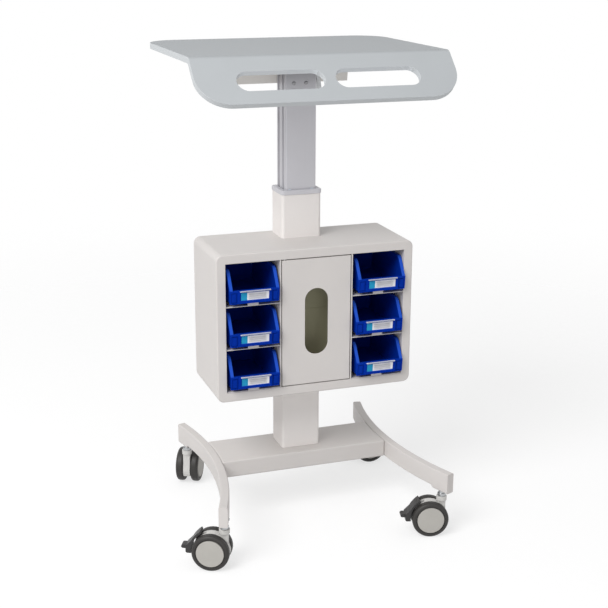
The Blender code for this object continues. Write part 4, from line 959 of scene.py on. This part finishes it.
def make_cap_form():
    """Slightly domed cap in the tyre's seat."""
    low, high = WHEEL_WIDTH - CAP_SUNK, WHEEL_WIDTH + CAP_PROUD
    cap = drum("cap_form", (0, (low + high) / 2, 0), CAP_RADIUS, high - low, "y", WHEEL_SIDES)
    bevel(cap, lambda e: not along(e, "y") and centre_of(e).y > WHEEL_WIDTH, CAP_EDGE, segments=3)
    step_face(cap, 1, CAP_STEPS, upright=False)
    return cap


def make_casters(finishes):
    """Wheels as copies of one form; forks, stems and pedals rounded off."""
    tyre, cap = make_tyre_form(), make_cap_form()
    angle = ROUND_SHARP_ANGLE
    for corner in CORNERS:
        body, fork, stem = corner + "_caster", corner + "_fork", corner + "_stem"
        low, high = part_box(stem)
        swivel = Matrix.Translation(((low.x + high.x) / 2, (low.y + high.y) / 2, 0))
        heading = Matrix.Rotation(math.radians(CASTER_HEADINGS[corner]), 4, "Z")
        hub = swivel @ heading @ Matrix.Translation((-CASTER_TRAIL, 0, WHEEL_RADIUS))
        for letter, turn in (("a", math.pi), ("b", 0)):
            name = corner + "_wheel_" + letter
            spot = hub @ Matrix.Rotation(turn, 4, "Z") @ Matrix.Translation((0, FORK_WIDTH / 2 + FIT, 0))
            ready(twin(tyre, name + "_tyre", spot), finishes["tyre"], name, name, angle)
            ready(twin(cap, name + "_cap", spot), finishes["cap"], name, angle=angle)
        ready(refined(fork, "fork"), finishes["fork"], body, fork, angle)
        ready(refined(stem, "stem"), finishes["zinc"], "base", stem, angle)
        if corner.startswith("front"):
            name = corner + "_pedal"
            ready(refined(name, "pedal"), finishes["pedal"], name, name, angle)
    discard(tyre, cap)


def finish_plain_solids(finishes):
    """Finishes of the solids that are shown as they are."""
    for row in frame["record"]["subparts"]:
        node = NODES[row["node"]]
        if node.hide_render:
            continue
        node.data.materials.clear()
        node.data.materials.append(finishes[BY_SLOT.get(row["material_slot"], "white")])


def make_camera():
    """Camera at the height and angle of the photograph."""
    right, forward = Vector(CAMERA_RIGHT).normalized(), Vector(CAMERA_FORWARD).normalized()
    up = right.cross(forward)
    roll = Matrix.Rotation(math.radians(CAMERA_ROLL), 3, "Z")
    turn = Matrix((right, up, -forward)).transposed() @ roll
    lens = bpy.data.cameras.new("photo_camera")
    lens.sensor_width = CAMERA_SENSOR
    lens.lens = CAMERA_LENS / PHOTO_WIDTH * CAMERA_SENSOR
    lens.clip_end = CAMERA_REACH
    camera = bpy.data.objects.new("photo_camera", lens)
    camera.matrix_world = Matrix.Translation(MIDDLE + Vector(CAMERA_PLACE)) @ turn.to_4x4()
    bpy.context.scene.collection.objects.link(camera)
    bpy.context.scene.camera = camera


def make_light(name, at, size, power):
    """Round soft lamp that looks at the cart."""
    light = bpy.data.lights.new(name, "AREA")
    light.shape = "DISK"
    light.size = size
    light.energy = power
    lamp = bpy.data.objects.new(name, light)
    lamp.location = at
    lamp.rotation_euler = (LAMP_TARGET - Vector(at)).to_track_quat("-Z", "Y").to_euler()
    bpy.context.scene.collection.objects.link(lamp)


def white_to_the_eye(tree):
    """One for camera, mirrored and see-through rays, nought for light that bounces."""
    path = tree.nodes.new("ShaderNodeLightPath")
    total = path.outputs["Is Camera Ray"]
    for kind in ("Is Glossy Ray", "Is Transmission Ray"):
        either = tree.nodes.new("ShaderNodeMath")
        either.operation = "MAXIMUM"
        tree.links.new(total, either.inputs[0])
        tree.links.new(path.outputs[kind], either.inputs[1])
        total = either.outputs[0]
    return total


def make_floor():
    """Pale floor that keeps the shadow near the cart and fades into the white round it."""
    let_go()
    bpy.ops.mesh.primitive_circle_add(vertices=FLOOR_SIDES, radius=FLOOR_RADIUS, fill_type="NGON")
    floor = bpy.context.object
    floor.name = "floor"
    material, shader = new_finish("floor_white", (FLOOR_SHADE,) * 3, FLOOR_ROUGHNESS)
    shader.inputs["Specular IOR Level"].default_value = FLOOR_SHINE
    tree = material.node_tree
    seen = white_to_the_eye(tree)
    tone = add(material, "ShaderNodeMapRange", {"To Min": FLOOR_BOUNCE, "To Max": FLOOR_SHADE})
    shine = add(material, "ShaderNodeMapRange", {"To Min": 0.0, "To Max": FLOOR_GLOW})
    glow = add(material, "ShaderNodeEmission", {"Color": (1, 1, 1, 1)})
    total = add(material, "ShaderNodeAddShader")
    join(material, seen, tone.inputs["Value"])
    join(material, seen, shine.inputs["Value"])
    join(material, tone.outputs["Result"], shader.inputs["Base Color"])
    join(material, shine.outputs["Result"], glow.inputs["Strength"])
    join(material, shader.outputs[0], total.inputs[0])
    join(material, glow.outputs[0], total.inputs[1])
    where = add(material, "ShaderNodeTexCoord")
    length = add(material, "ShaderNodeVectorMath", operation="LENGTH")
    fade = add(material, "ShaderNodeMapRange", {"From Min": FLOOR_FADE, "From Max": FLOOR_RADIUS},
               interpolation_type="SMOOTHSTEP")
    clear = add(material, "ShaderNodeBsdfTransparent")
    blend = add(material, "ShaderNodeMixShader")
    join(material, where.outputs["Object"], length.inputs[0])
    join(material, length.outputs["Value"], fade.inputs["Value"])
    join(material, fade.outputs["Result"], blend.inputs[0])
    join(material, total.outputs[0], blend.inputs[1])
    join(material, clear.outputs[0], blend.inputs[2])
    join(material, blend.outputs[0], tree.nodes["Material Output"].inputs["Surface"])
    floor.data.materials.append(material)


def make_stage():
    """Floor, white surroundings and soft lamps."""
    make_floor()
    world = bpy.data.worlds.new("studio")
    bpy.context.scene.world = world
    world.use_nodes = True
    tree = world.node_tree
    surroundings = tree.nodes["Background"]
    surroundings.inputs["Color"].default_value = (1, 1, 1, 1)
    strength = tree.nodes.new("ShaderNodeMapRange")
    strength.inputs["To Min"].default_value = ROOM_LIGHT
    strength.inputs["To Max"].default_value = 1.0
    tree.links.new(white_to_the_eye(tree), strength.inputs["Value"])
    tree.links.new(strength.outputs["Result"], surroundings.inputs["Strength"])
    for lamp in LAMPS:
        make_light(*lamp)
    bpy.context.scene.view_settings.view_transform = "Standard"


def main():
    finishes = make_finishes()
    make_camera()
    make_stage()
    make_worktop(finishes)
    make_column(finishes)
    make_cabinet(finishes)
    make_liner(finishes)
    make_panels(finishes)
    make_door(finishes)
    make_bins(finishes)
    make_base(finishes)
    make_casters(finishes)
    make_screws(finishes)
    make_glide_tips(finishes)
    finish_plain_solids(finishes)
    let_go()


main()
